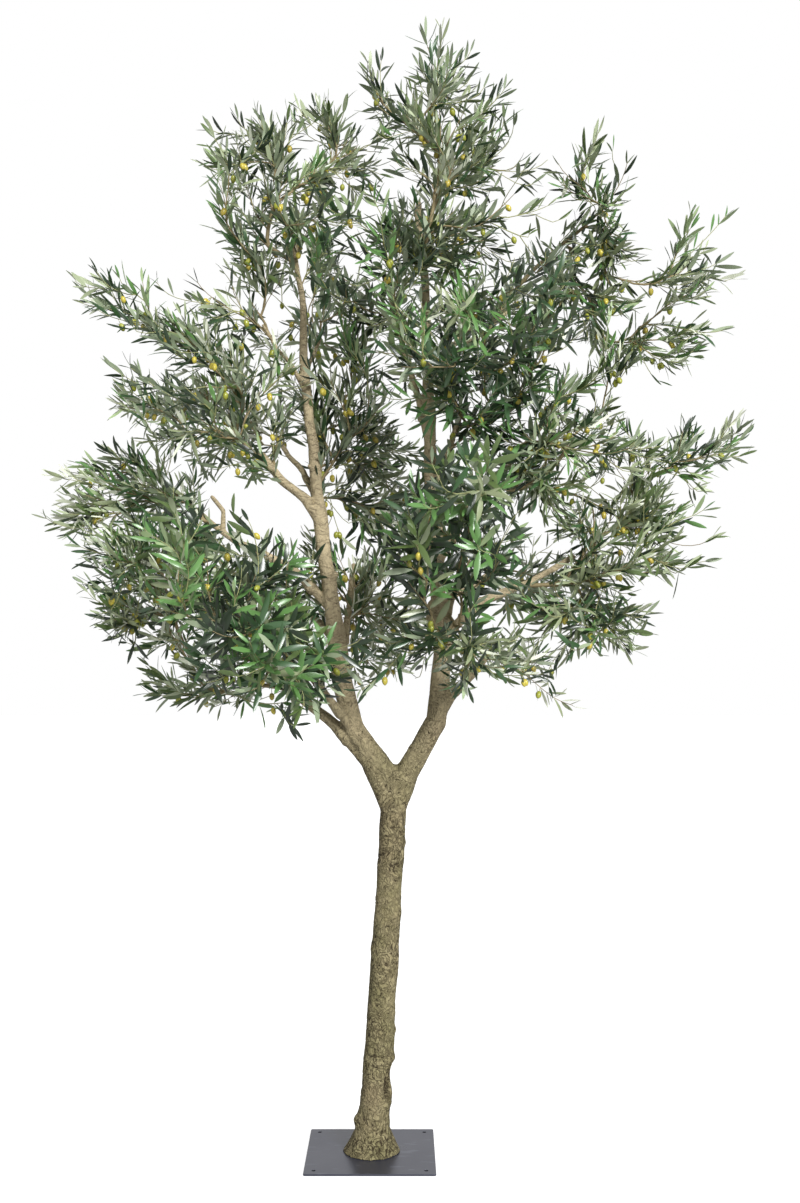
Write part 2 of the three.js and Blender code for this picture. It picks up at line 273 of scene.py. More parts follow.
upperSides = [leafSkin(kind, "upper") for kind in leafDyes]
underSides = [leafSkin(kind, "under") for kind in leafDyes]
oliveSkins = [
    newMaterial(f"olive {name}", 0.34, colour, Coat_Weight=0.15)[0]
    for name, colour in {
        "green": dye(150, 154, 58), "yellow": dye(188, 174, 70), "ochre": dye(168, 152, 62),
    }.items()
]
stalkGreen = newMaterial("twig green", 0.6, dye(150, 152, 104))[0]
stalkBrown = newMaterial("twig brown", 0.75, dye(138, 124, 90))[0]
bark = barkMaterial()
paintedSteel = plateMaterial()
# near-black painted shade for the walls of the holes
holeShadeSteel = newMaterial("steel in a hole", 0.8, plateLook["hole"])[0]
print("materials ready")


def newObject(name, mesh):
    piece = bpy.data.objects.new(name, mesh)
    bpy.context.scene.collection.objects.link(piece)
    return piece


def settle(piece):  # turns the result of the modifiers into a plain mesh
    bpy.context.view_layer.update()
    evaluated = piece.evaluated_get(bpy.context.evaluated_depsgraph_get())
    plain = bpy.data.meshes.new_from_object(evaluated)
    piece.modifiers.clear()
    piece.data = plain
    plain.name = piece.name
    return piece


def dress(piece, nodes=()):  # puts it on the root body and hides the CAD nodes it stands for
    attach(piece, "root")
    if nodes:
        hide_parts(*nodes)
    return piece


def corners(node):  # a CAD node's points and triangles, as arrays
    mesh = frame["nodes"][node].data
    points = np.zeros(len(mesh.vertices) * 3)
    mesh.vertices.foreach_get("co", points)
    triangles = np.zeros(len(mesh.loops), int)
    mesh.loops.foreach_get("vertex_index", triangles)
    return points.reshape(-1, 3), triangles.reshape(-1, 3)


limbNames = [name for name in frame["nodes"] if name == "trunk" or name.startswith(("stem_", "bough_"))]
massNames = sorted(name for name in frame["nodes"] if name.startswith("leaves_"))


def centreLine(node, count):  # the middles and radii of slices across a limb, from its low end up
    points, triangles = corners(node)
    middle = points.mean(0)
    axis = np.linalg.svd(points - middle, full_matrices=False)[2][0]
    axis = axis if axis[2] > 0 else -axis
    along = (points - middle) @ axis
    edges = triangles[:, [0, 1, 1, 2, 2, 0]].reshape(-1, 2)
    low, high = along[edges[:, 0]], along[edges[:, 1]]
    slices = []
    for level in np.linspace(along.min(), along.max(), count + 2)[1:-1]:
        crossed = (low - level) * (high - level) < 0
        share = ((level - low) / (high - low + 1e-12))[crossed][:, None]
        ring = points[edges[crossed, 0]] * (1 - share) + points[edges[crossed, 1]] * share
        slices.append((ring.mean(0), np.linalg.norm(ring - ring.mean(0), axis=1).mean()))
    return slices


slicesPerMetre = 22
limbLines = {}
for limb in limbNames:
    lowCorner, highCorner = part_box(limb)
    limbLines[limb] = centreLine(limb, max(5, round((highCorner - lowCorner).length * slicesPerMetre)))
print(f"read {len(limbLines)} limbs")


barkShape = {
    "voxel": 0.0032, "overlap": 0.0008, "smoothing": 16, "triangles": 190000,
    "collar": 1.4, "collarReach": 3.4,  # a bough swells by its parent: times its radius, over so many radii
    "forkDrop": 0.105, "forkRise": 0.06,  # how far below and above the fork its fillets reach
    "crotchRise": 0.006, "crotchRadius": 0.012,  # of the rod that rounds the fork's crotch
    "crook": 0.011, "crookFrom": 1.25, "crookFull": 1.6,  # how far limbs wander, growing between two heights
    "lump": 0.0038, "knob": 0.0022, "wrinkle": 0.0010, "crack": 0.0026, "pit": 0.0028, "speck": 0.0012,
    "footPit": 0.0034, "hem": 0.0042,
}

# Features of the trunk: the side they face, in degrees from +X with the front at -90, height, half height
# and half width, how deep they go in (deeper ones get darker painted shade), how far their rim stands out, and how dark
# the painted shade in their ring grooves is
trunkFeatures = {
    "scar": {"side": -46, "height": 0.221, "tall": 0.060, "wide": 0.011, "depth": 0.015, "rim": 0.003, "rings": 0, "bend": 14},
    "scarLip": {"side": -18, "height": 0.190, "tall": 0.040, "wide": 0.011, "depth": -0.007, "rim": 0, "rings": 0},
    "scarHollow": {"side": -5, "height": 0.248, "tall": 0.040, "wide": 0.026, "depth": 0.006, "rim": 0, "rings": 0},
    "scarTop": {"side": -12, "height": 0.302, "tall": 0.020, "wide": 0.020, "depth": -0.008, "rim": 0, "rings": 0},
    "scarFoot": {"side": -35, "height": 0.160, "tall": 0.014, "wide": 0.016, "depth": -0.006, "rim": 0, "rings": 0},
    "footKnob": {"side": -166, "height": 0.106, "tall": 0.026, "wide": 0.020, "depth": -0.014, "rim": 0, "rings": 0},
    "knot": {"side": -62, "height": 0.893, "tall": 0.021, "wide": 0.013, "depth": 0.003, "rim": 0.0045, "rings": 0.8},
    "knotRidge": {"side": -58, "height": 0.945, "tall": 0.036, "wide": 0.006, "depth": -0.0035, "rim": 0, "rings": 0},
    "highKnot": {"side": -92, "height": 1.056, "tall": 0.020, "wide": 0.012, "depth": 0.002, "rim": 0.003, "rings": 0.6},
    "shoulder": {"side": -10, "height": 0.975, "tall": 0.016, "wide": 0.018, "depth": -0.005, "rim": 0, "rings": 0},
    "waistBump": {"side": -20, "height": 0.755, "tall": 0.022, "wide": 0.020, "depth": -0.004, "rim": 0, "rings": 0},
    "leftBump": {"side": -172, "height": 0.640, "tall": 0.025, "wide": 0.024, "depth": -0.004, "rim": 0, "rings": 0},
    "lowBump": {"side": 6, "height": 0.385, "tall": 0.016, "wide": 0.016, "depth": -0.005, "rim": 0, "rings": 0},
}
ringAt = {"inner": 0.62, "outer": 1.6, "wide": 0.17, "depth": 0.0022}  # grooves round a knot, darkened with painted shade, in its own radii

# Short pruned stubs: the limb, its height there, the steps along the stub, and the radii at their ends
stubs = [
    {"limb": "stem_right", "height": 1.625, "steps": [(-0.018, -0.018, 0.062), (-0.006, -0.004, 0.036)],
     "radii": (0.031, 0.035, 0.024)},
    {"limb": "bough_left_arch", "height": 1.955, "steps": [(0.006, -0.012, 0.068), (-0.042, -0.008, 0.040)],
     "radii": (0.011, 0.0085, 0.008)},
    {"limb": "stem_left", "height": 1.800, "steps": [(0.026, -0.030, 0.022)], "radii": (0.014, 0.009)},
    {"limb": "stem_left", "height": 2.120, "steps": [(-0.020, -0.024, 0.016)], "radii": (0.012, 0.007)},
]


# Where a bough's foot runs down along its parent: two limbs with the heights there, and how thick it is
webs = [
    {"low": ("stem_left", 1.18), "high": ("bough_left_low", 1.37), "thick": 0.9},
    {"low": ("stem_right", 1.30), "high": ("bough_right_low", 1.45), "thick": 0.7},
]


def crooked(point):  # where a point of a limb is once the limb wanders
    share = (point.z - barkShape["crookFrom"]) / (barkShape["crookFull"] - barkShape["crookFrom"])
    share = min(1.0, max(0.0, share))
    sway = noise.noise_vector(point * 5.0) + noise.noise_vector(point * 13.0) * 0.4
    return point + sway * barkShape["crook"] * share


def pointOnLimb(limb, height):
    return min(limbLines[limb], key=lambda one: abs(one[0][2] - height))


def addRod(bm, start, end, radii):  # a cone between two points
    way = Vector(end) - Vector(start)
    turn = up.rotation_difference(way).to_matrix().to_4x4()
    middle = Matrix.Translation((Vector(start) + Vector(end)) / 2)
    bmesh.ops.create_cone(
        bm, cap_ends=True, segments=14, radius1=radii[0], radius2=radii[1],
        depth=way.length, matrix=middle @ turn,
    )


def addStub(bm, stub):
    here = Vector(pointOnLimb(stub["limb"], stub["height"])[0])
    for step, near, far in zip(stub["steps"], stub["radii"], stub["radii"][1:]):
        there = here + Vector(step)
        addRod(bm, here, there, (near, far))
        bmesh.ops.create_icosphere(bm, subdivisions=2, radius=far, matrix=Matrix.Translation(there))
        here = there


def addCollar(bm, bough):
    line = limbLines[bough]
    foot, radius = Vector(line[1][0]), line[2][1]
    ahead = (Vector(line[3][0]) - foot).normalized()
    reach = radius * barkShape["collarReach"]
    addRod(bm, foot - ahead * reach * 0.4, foot + ahead * reach * 0.6, (radius * barkShape["collar"], radius))


def addForkFillets(bm):
    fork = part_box("trunk")[1].z
    low, lowRadius = pointOnLimb("trunk", fork - barkShape["forkDrop"])
    for stem in ("stem_left", "stem_right"):
        high, highRadius = pointOnLimb(stem, fork + barkShape["forkRise"])
        addRod(bm, low, high, (lowRadius * 0.97, highRadius * 0.85))
    left, right = (Vector(pointOnLimb(stem, fork + 0.02)[0]) for stem in ("stem_left", "stem_right"))
    left.z = right.z = fork + barkShape["crotchRise"]
    addRod(bm, left, right, (barkShape["crotchRadius"],) * 2)
    for web in webs:
        low, lowRadius = pointOnLimb(*web["low"])
        high, highRadius = pointOnLimb(*web["high"])
        addRod(bm, low, high, (lowRadius * web["thick"], highRadius * web["thick"]))


def joinedLimbs():
    bm = bmesh.new()
    for limb in limbNames:
        shell = bmesh.new()
        shell.from_mesh(frame["nodes"][limb].data)
        bmesh.ops.remove_doubles(shell, verts=shell.verts, dist=1e-5)
        shell.normal_update()
        for vertex in shell.verts:
            vertex.co += vertex.normal * barkShape["overlap"]  # closes the seam to the next limb
        mesh = bpy.data.meshes.new(limb)
        shell.to_mesh(mesh)
        shell.free()
        bm.from_mesh(mesh)
        if limb.startswith("bough_"):
            addCollar(bm, limb)
    addForkFillets(bm)
    for stub in stubs:
        addStub(bm, stub)
    mesh = bpy.data.meshes.new("limbs")
    bm.to_mesh(mesh)
    bm.free()
    return mesh


def hump(value, middle, wide):  # 1 at the middle, fading to 0 over the width
    return math.exp(-(((value - middle) / wide) ** 2))


def featureRelief(point, axisPoint):  # how far the trunk's features move a point, and how dark the painted shade in their recesses and ring grooves is there
    away = Vector((point.x - axisPoint[0], point.y - axisPoint[1]))
    angle = math.atan2(away.y, away.x)
    moved = dark = 0.0
    for one in trunkFeatures.values():
        along = (point.z - one["height"]) / one["tall"]
        side = math.radians(one["side"] + one.get("bend", 0) * along * along)
        reach = math.hypot(math.remainder(angle - side, 2 * math.pi) * away.length / one["wide"], along)
        if reach > 2.4:
            continue
        moved += one["rim"] * hump(reach, 1.25, 0.35) - one["depth"] * hump(reach, 0.0, 0.85)
        # painted shade: a feature is painted darker the deeper it goes in
        dark = max(dark, 0.85 * hump(reach, 0.0, 0.9) * min(1.0, max(0.0, one["depth"] / 0.008 - 0.6)))
        if one["rings"]:
            groove = max(hump(reach, ringAt["inner"], ringAt["wide"]), hump(reach, ringAt["outer"], ringAt["wide"]))
            groove *= min(1.0, max(0.0, 0.5 + 3.0 * ripple(point, 40.0, 40.0, 2.0)))  # rings are broken
            moved -= groove * ringAt["depth"]
            # painted shade in the ring grooves
            dark = max(dark, groove * one["rings"])
    return moved, dark


def ripple(point, across, along, shift=0.0):
    return noise.noise(Vector((point.x * across, point.y * across, point.z * along + shift)))


def barkRelief(point, radius):  # how far the bark moves a point outwards, and how deep it lies in a recess, 0 to 1, which is painted as shade
    shape = barkShape
    share = min(1.0, radius / 0.04)
    foot = max(0.0, 1.0 - point.z / 0.17)
    hem = hump(point.z, 0.008, 0.012)
    swayed = point + noise.noise_vector(point * 20.0) * 0.012
    wrinkle = 1.0 - min(1.0, abs(ripple(swayed, 70.0, 52.0)) * 5.5)
    broken = min(1.0, max(0.0, ripple(point, 11.0, 11.0, 5.0) * 5.0 + 1.2 * hump(point.z, 0.95, 0.16)))
    crack = max(0.0, 1.0 - abs(ripple(swayed, 15.0, 24.0, 9.0)) / 0.045) * broken
    pit = max(0.0, 1.0 - noise.voronoi(point * 30.0)[0][0] / 0.17)
    speck = max(0.0, 1.0 - noise.voronoi(swayed * 62.0)[0][0] / 0.2)
    footPit = foot * max(0.0, ripple(point, 130.0, 56.0) * 2.2 - 0.2) * (1.0 - hem)
    moved = ripple(point, 8.0, 8.0) * shape["lump"] + ripple(point, 30.0, 19.0) * shape["knob"]
    moved += (0.5 - wrinkle) * shape["wrinkle"] - crack * shape["crack"] - pit * shape["pit"]
    moved -= speck * shape["speck"]
    moved = moved * share - footPit * shape["footPit"] + hem * shape["hem"] * (1.0 + ripple(point, 14.0, 4.0, 3.0))
    # the second value is painted shade in the wrinkles, cracks, pits, specks and foot pits
    return moved, min(0.88, 0.10 * wrinkle + 0.55 * crack + 0.75 * pit + 0.4 * speck + 1.1 * footPit)


def reliefOn(piece):  # moves the bark's points, and keeps how deep each lies in a recess as an attribute, painted as shade by the bark
    marks = [mark for line in limbLines.values() for mark in line]
    nearest = KDTree(len(marks))
    for index, (centre, _) in enumerate(marks):
        nearest.insert(Vector(centre), index)
    nearest.balance()
    heights = [centre[2] for centre, _ in limbLines["trunk"]]
    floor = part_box("trunk")[0].z
    bm = bmesh.new()
    bm.from_mesh(piece.data)
    bm.normal_update()
    hollowShades = bm.verts.layers.float.new("hollow")
    for vertex in bm.verts:
        point, normal = vertex.co.copy(), vertex.normal.copy()
        moved, hollow = barkRelief(point, marks[nearest.find(point)[1]][1])
        if point.z < heights[-1]:
            axisPoint = [np.interp(point.z, heights, [c[i] for c, _ in limbLines["trunk"]]) for i in range(2)]
            shift, dark = featureRelief(point, axisPoint)
            moved += shift
            hollow = max(hollow, dark)
        # keeps the painted shade for the bark material
        vertex[hollowShades] = hollow
        if point.z < floor + 0.012:  # the cut foot stays flat on the plate
            normal.z = 0.0
        vertex.co = crooked(point + normal * moved)
        vertex.co.z = max(vertex.co.z, floor)
    bm.to_mesh(piece.data)
    bm.free()


def barkedLimbs():
    piece = newObject("barked_limbs", joinedLimbs())
    remesh = piece.modifiers.new("one skin", "REMESH")
    remesh.mode = "VOXEL"
    remesh.voxel_size = barkShape["voxel"]
    smooth = piece.modifiers.new("round", "SMOOTH")
    smooth.factor = 0.5
    smooth.iterations = barkShape["smoothing"]
    settle(piece)
    reliefOn(piece)
    thin = piece.modifiers.new("thin out", "DECIMATE")
    thin.ratio = min(1.0, barkShape["triangles"] / 2 / len(piece.data.polygons))
    settle(piece)
    piece.data.shade_smooth()
    piece.data.materials.append(bark)
    dress(piece, limbNames)
    print(f"bark has {sum(len(face.vertices) - 2 for face in piece.data.polygons)} triangles")


barkedLimbs()


plateShape = {"corner": 0.007, "edge": 0.0008, "holeRadius": 0.006, "holeInset": 0.03, "holeSides": 28}


def basePlate():
    low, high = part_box("base_plate")
    outline = bpy.data.curves.new("base_plate_sheet", "CURVE")
    outline.dimensions = "2D"
    outline.fill_mode = "BOTH"
    outline.extrude = (high.z - low.z) / 2 - plateShape["edge"]
    outline.bevel_depth = plateShape["edge"]
    outline.bevel_resolution = 2
    outline.offset = -plateShape["edge"]

    def addLoop(points):
        spline = outline.splines.new("POLY")
        spline.points.add(len(points) - 1)
        for target, (x, y) in zip(spline.points, points):
            target.co = (x, y, 0, 1)
        spline.use_cyclic_u = True

    half = high.x
    corner = plateShape["corner"]
    rim = []
    for quarter in range(4):
        base = math.radians(90 * quarter)
        signX, signY = [(1, 1), (-1, 1), (-1, -1), (1, -1)][quarter]
        for step in range(7):
            angle = base + math.radians(15 * step)
            rim.append((
                signX * (half - corner) + corner * math.cos(angle),
                signY * (half - corner) + corner * math.sin(angle),
            ))
    addLoop(rim)
    inset = half - plateShape["holeInset"]
    for x in (-inset, inset):
        for y in (-inset, inset):
            turns = [2 * math.pi * k / plateShape["holeSides"] for k in range(plateShape["holeSides"])]
            addLoop([(
                x + plateShape["holeRadius"] * math.cos(a), y + plateShape["holeRadius"] * math.sin(a),
            ) for a in turns])
    piece = newObject("base_plate_sheet", outline)
    bpy.context.view_layer.update()
    mesh = bpy.data.meshes.new_from_object(piece.evaluated_get(bpy.context.evaluated_depsgraph_get()))
    bpy.data.objects.remove(piece)
    mesh.transform(Matrix.Translation((0, 0, (low.z + high.z) / 2)))
    mesh.materials.clear()
    mesh.materials.append(paintedSteel)
    mesh.materials.append(holeShadeSteel)
    hole = Vector((inset, inset))
    for face in mesh.polygons:
        across = Vector((abs(face.center.x), abs(face.center.y)))
        # the walls of the holes take the near-black painted shade
        face.material_index = int((across - hole).length < plateShape["holeRadius"] and abs(face.normal.z) < 0.5)
    dress(newObject("steel_plate", mesh), ["base_plate"])


basePlate()
print("plate ready")


growth = {
    "seed": 11,
    "twigsPerArea": 580.0,  # twigs for each square metre of a mass's volume to the power 2/3
    "step": 0.028,  # between the points of a twig
    "tries": 5,
    "skin": (-0.02, 0.04),  # how deep the tips stop: some a little outside their mass, for a ragged edge
    "inner": 0.3, "core": 0.08,  # share of the tips deeper than the core that are kept
    "margin": 0.02,  # kept clear inside the whole object's box
    "nearest": 0.12,  # shortest twig
    "bare": 0.055,  # the last stretch of a twig, that carries no other
    "tipRadius": 0.0012, "loadPower": 0.37, "stoutest": 0.0075,
    "turnCost": 0.5, "skyCost": 2.0, "sinkCost": 0.3,  # against turning back, crossing open sky, growing down
    "offers": 16,  # starts that are compared for each twig
    "waver": 0.35,  # how far a twig strays from the straight way at both ends
}

# What differs from mass to mass: full is how many twigs it has, close how close its leaves are, leaf their
# size, broad how wide they are, splay how much wider they spread, fresh how many of its sprays are young, grey how
# often its colours are the olive and grey ones, turned how many of its leaves show their pale undersides, and whorl how
# many of its twigs end in a flat whorl
habits = {
    "leaves_front_left": {
        "close": 1.12, "leaf": 1.08, "broad": 1.2, "splay": 10, "fresh": 0.16, "turned": 0.08, "grey": 0.7, "whorl": 0.5,
    },
    "leaves_low_left": {
        "close": 1.12, "leaf": 1.04, "broad": 1.18, "splay": 10, "fresh": 0.08, "turned": 0.08, "grey": 0.5, "whorl": 0.4,
    },
    "leaves_heart_low": {
        "close": 1.12, "leaf": 1.1, "broad": 1.2, "splay": 12, "fresh": 0.15, "turned": 0.05, "grey": 0.25, "whorl": 0.55,
    },
    "leaves_heart_right": {
        "close": 1.12, "leaf": 1.08, "broad": 1.2, "splay": 12, "fresh": 0.13, "turned": 0.05, "grey": 0.25, "whorl": 0.5,
    },
    "leaves_heart_mid": {
        "close": 1.1, "leaf": 1.04, "broad": 1.15, "splay": 10, "fresh": 0.1, "turned": 0.08, "grey": 0.7, "whorl": 0.4,
    },
    "leaves_heart_high": {
        "close": 1.1, "leaf": 1.04, "broad": 1.12, "splay": 10, "fresh": 0.1, "turned": 0.08, "grey": 0.7, "whorl": 0.35,
    },
    # These masses sit behind others, in their shade: their high turned and grey shares show their silver leaves and are
    # partly painted light, pale colours that make up for the shade.
    "leaves_arch_left": {"turned": 0.65, "full": 1.0, "grey": 3.0},
    "leaves_inner_left": {"turned": 0.65, "grey": 3.0},
    "leaves_inner_low": {"turned": 0.65, "grey": 3.0},
    "leaves_rear_centre": {"turned": 0.6, "grey": 3.0},
    "leaves_mid_right": {"turned": 0.55, "full": 0.78, "grey": 2.5},
    "leaves_elbow_right": {"turned": 0.55, "full": 0.78, "grey": 2.5},
    "leaves_low_right": {"turned": 0.5, "full": 0.78, "grey": 2.5},
    "leaves_far_right": {"turned": 0.4, "full": 0.68, "close": 0.85, "grey": 2.5},
    "leaves_high_right": {"turned": 0.35, "full": 0.52, "close": 0.8, "grey": 2.5},
    "leaves_top_front": {"full": 0.58, "close": 0.85},
    "leaves_top_right": {"full": 0.48, "close": 0.85},
    "leaves_top": {"full": 0.72, "close": 0.9},
    "leaves_upper_left": {"full": 0.66, "close": 0.9},
    "leaves_upper_back": {"full": 0.52, "close": 0.85},
    "leaves_shoulder_left": {"full": 0.6, "close": 0.85},
    "leaves_high_left": {"full": 0.7},
    "leaves_shoulder_right": {"full": 0.62, "close": 0.85},
    "leaves_rear_top": {"full": 0.55, "close": 0.85},
    "leaves_tip_left": {"full": 0.65, "close": 0.85},
}
usual = {
    "full": 0.66, "close": 0.92, "leaf": 1.0, "broad": 1.0, "splay": 0, "fresh": 0.06, "grey": 1.3, "turned": 0.22, "whorl": 0.1,
}

# Openings where the sky or a stem shows through the crown: their middle across and up, and half their width
# and height, where the line of sight crosses the trunk's plane
skyGaps = {
    "top": [
        (-0.081, 3.045, 0.040, 0.035), (-0.035, 3.330, 0.022, 0.050), (0.430, 3.110, 0.028, 0.060),
        (0.075, 3.035, 0.035, 0.028), (0.470, 3.180, 0.028, 0.050), (-0.100, 3.380, 0.045, 0.065),
        (-0.330, 3.340, 0.050, 0.028), (-0.010, 3.170, 0.026, 0.065), (-0.105, 3.140, 0.026, 0.035),
        (-0.190, 3.210, 0.028, 0.040), (0.125, 3.065, 0.026, 0.050), (0.095, 3.445, 0.040, 0.060),
        (0.445, 3.050, 0.030, 0.040), (0.000, 2.960, 0.045, 0.026),
    ],
    "upper left": [
        (-0.560, 2.980, 0.060, 0.120), (-0.500, 2.725, 0.045, 0.050), (-0.301, 2.659, 0.070, 0.045),
        (-0.215, 2.770, 0.026, 0.070), (-0.690, 2.485, 0.050, 0.030), (-0.772, 2.533, 0.070, 0.042),
        (-0.420, 2.650, 0.035, 0.045), (-0.330, 2.590, 0.045, 0.030), (-0.190, 2.670, 0.018, 0.060),
        (-0.560, 2.860, 0.050, 0.070), (-0.880, 2.470, 0.050, 0.030), (-0.480, 3.300, 0.045, 0.030),
        (-0.660, 2.690, 0.045, 0.026), (-0.610, 2.770, 0.055, 0.035), (-0.920, 2.590, 0.065, 0.040),
        (-0.860, 2.400, 0.050, 0.030), (-0.540, 3.270, 0.040, 0.036), (-0.535, 2.940, 0.036, 0.050),
        (-0.940, 2.635, 0.055, 0.036), (-0.980, 2.730, 0.050, 0.036),
    ],
    "left": [
        (-0.850, 2.250, 0.045, 0.036), (-0.930, 2.230, 0.065, 0.050), (-1.030, 1.860, 0.060, 0.080),
        (-0.910, 1.620, 0.060, 0.045), (-0.790, 1.485, 0.050, 0.028), (-0.300, 1.420, 0.050, 0.024),
        (-0.310, 2.035, 0.095, 0.068), (-0.480, 2.025, 0.036, 0.050), (-0.325, 2.245, 0.024, 0.060),
        (-0.870, 2.350, 0.050, 0.045), (-0.470, 1.970, 0.035, 0.028), (-0.980, 1.740, 0.060, 0.050),
        (-0.560, 1.380, 0.080, 0.028), (-1.040, 2.080, 0.045, 0.045), (-0.700, 1.390, 0.070, 0.028),
        (-0.785, 2.235, 0.035, 0.028), (-0.440, 2.140, 0.030, 0.022), (-0.350, 1.960, 0.035, 0.026),
        (-1.070, 2.180, 0.050, 0.035), (-1.100, 2.010, 0.050, 0.050), (-0.820, 1.560, 0.060, 0.032),
        (-0.320, 1.450, 0.035, 0.025), (-0.950, 1.860, 0.030, 0.040),
    ],
    "left stem": [
        (-0.254, 2.166, 0.040, 0.075), (-0.113, 1.985, 0.040, 0.075), (-0.120, 2.140, 0.035, 0.040),
        (-0.128, 1.725, 0.020, 0.085), (-0.088, 1.585, 0.020, 0.060), (-0.070, 1.790, 0.018, 0.028),
        (-0.080, 1.960, 0.026, 0.028), (-0.075, 1.860, 0.020, 0.030), (0.030, 1.780, 0.024, 0.024),
    ],
    "centre": [
        (0.107, 2.266, 0.026, 0.050), (0.216, 2.266, 0.028, 0.050), (0.095, 1.755, 0.022, 0.026),
        (0.075, 1.372, 0.090, 0.100), (0.095, 1.460, 0.060, 0.040),
        (0.270, 1.730, 0.028, 0.028),
    ],
    "right stem": [(0.196, 1.705, 0.032, 0.060), (0.280, 1.680, 0.026, 0.035)],
    "upper right": [
        (0.452, 2.941, 0.036, 0.060), (0.550, 3.145, 0.070, 0.030), (0.470, 2.860, 0.028, 0.030),
        (0.890, 2.830, 0.035, 0.070), (0.570, 2.500, 0.065, 0.030), (0.850, 2.450, 0.055, 0.030),
        (0.550, 2.930, 0.028, 0.030), (0.760, 3.110, 0.040, 0.035), (0.660, 3.280, 0.140, 0.060),
        (1.100, 2.880, 0.050, 0.050), (0.900, 2.935, 0.065, 0.040), (0.890, 2.640, 0.040, 0.030),
        (0.690, 2.980, 0.030, 0.030), (0.760, 2.600, 0.035, 0.026), (0.500, 3.200, 0.060, 0.032),
        (0.620, 3.090, 0.030, 0.030), (0.840, 2.740, 0.034, 0.045), (0.985, 2.640, 0.045, 0.035),
        (0.950, 2.960, 0.050, 0.035), (0.430, 2.990, 0.030, 0.030),
        (0.590, 2.880, 0.030, 0.030), (0.655, 2.520, 0.034, 0.028),
    ],
    "right": [
        (0.900, 2.365, 0.130, 0.050), (0.770, 2.410, 0.060, 0.032), (0.505, 1.975, 0.036, 0.036),
        (0.415, 1.955, 0.028, 0.045), (0.718, 2.085, 0.050, 0.040), (0.920, 2.275, 0.035, 0.040),
        (1.020, 1.800, 0.060, 0.035), (0.890, 1.780, 0.040, 0.035), (0.680, 1.540, 0.050, 0.028),
        (1.020, 1.905, 0.060, 0.036), (0.690, 2.360, 0.045, 0.026), (0.530, 1.895, 0.045, 0.026),
        (0.780, 2.140, 0.034, 0.034), (0.370, 1.400, 0.060, 0.028), (0.345, 1.475, 0.036, 0.028),
        (0.710, 2.210, 0.030, 0.028), (0.600, 1.900, 0.030, 0.026), (0.985, 2.085, 0.040, 0.030), (0.420, 1.430, 0.040, 0.028),
    ],
}

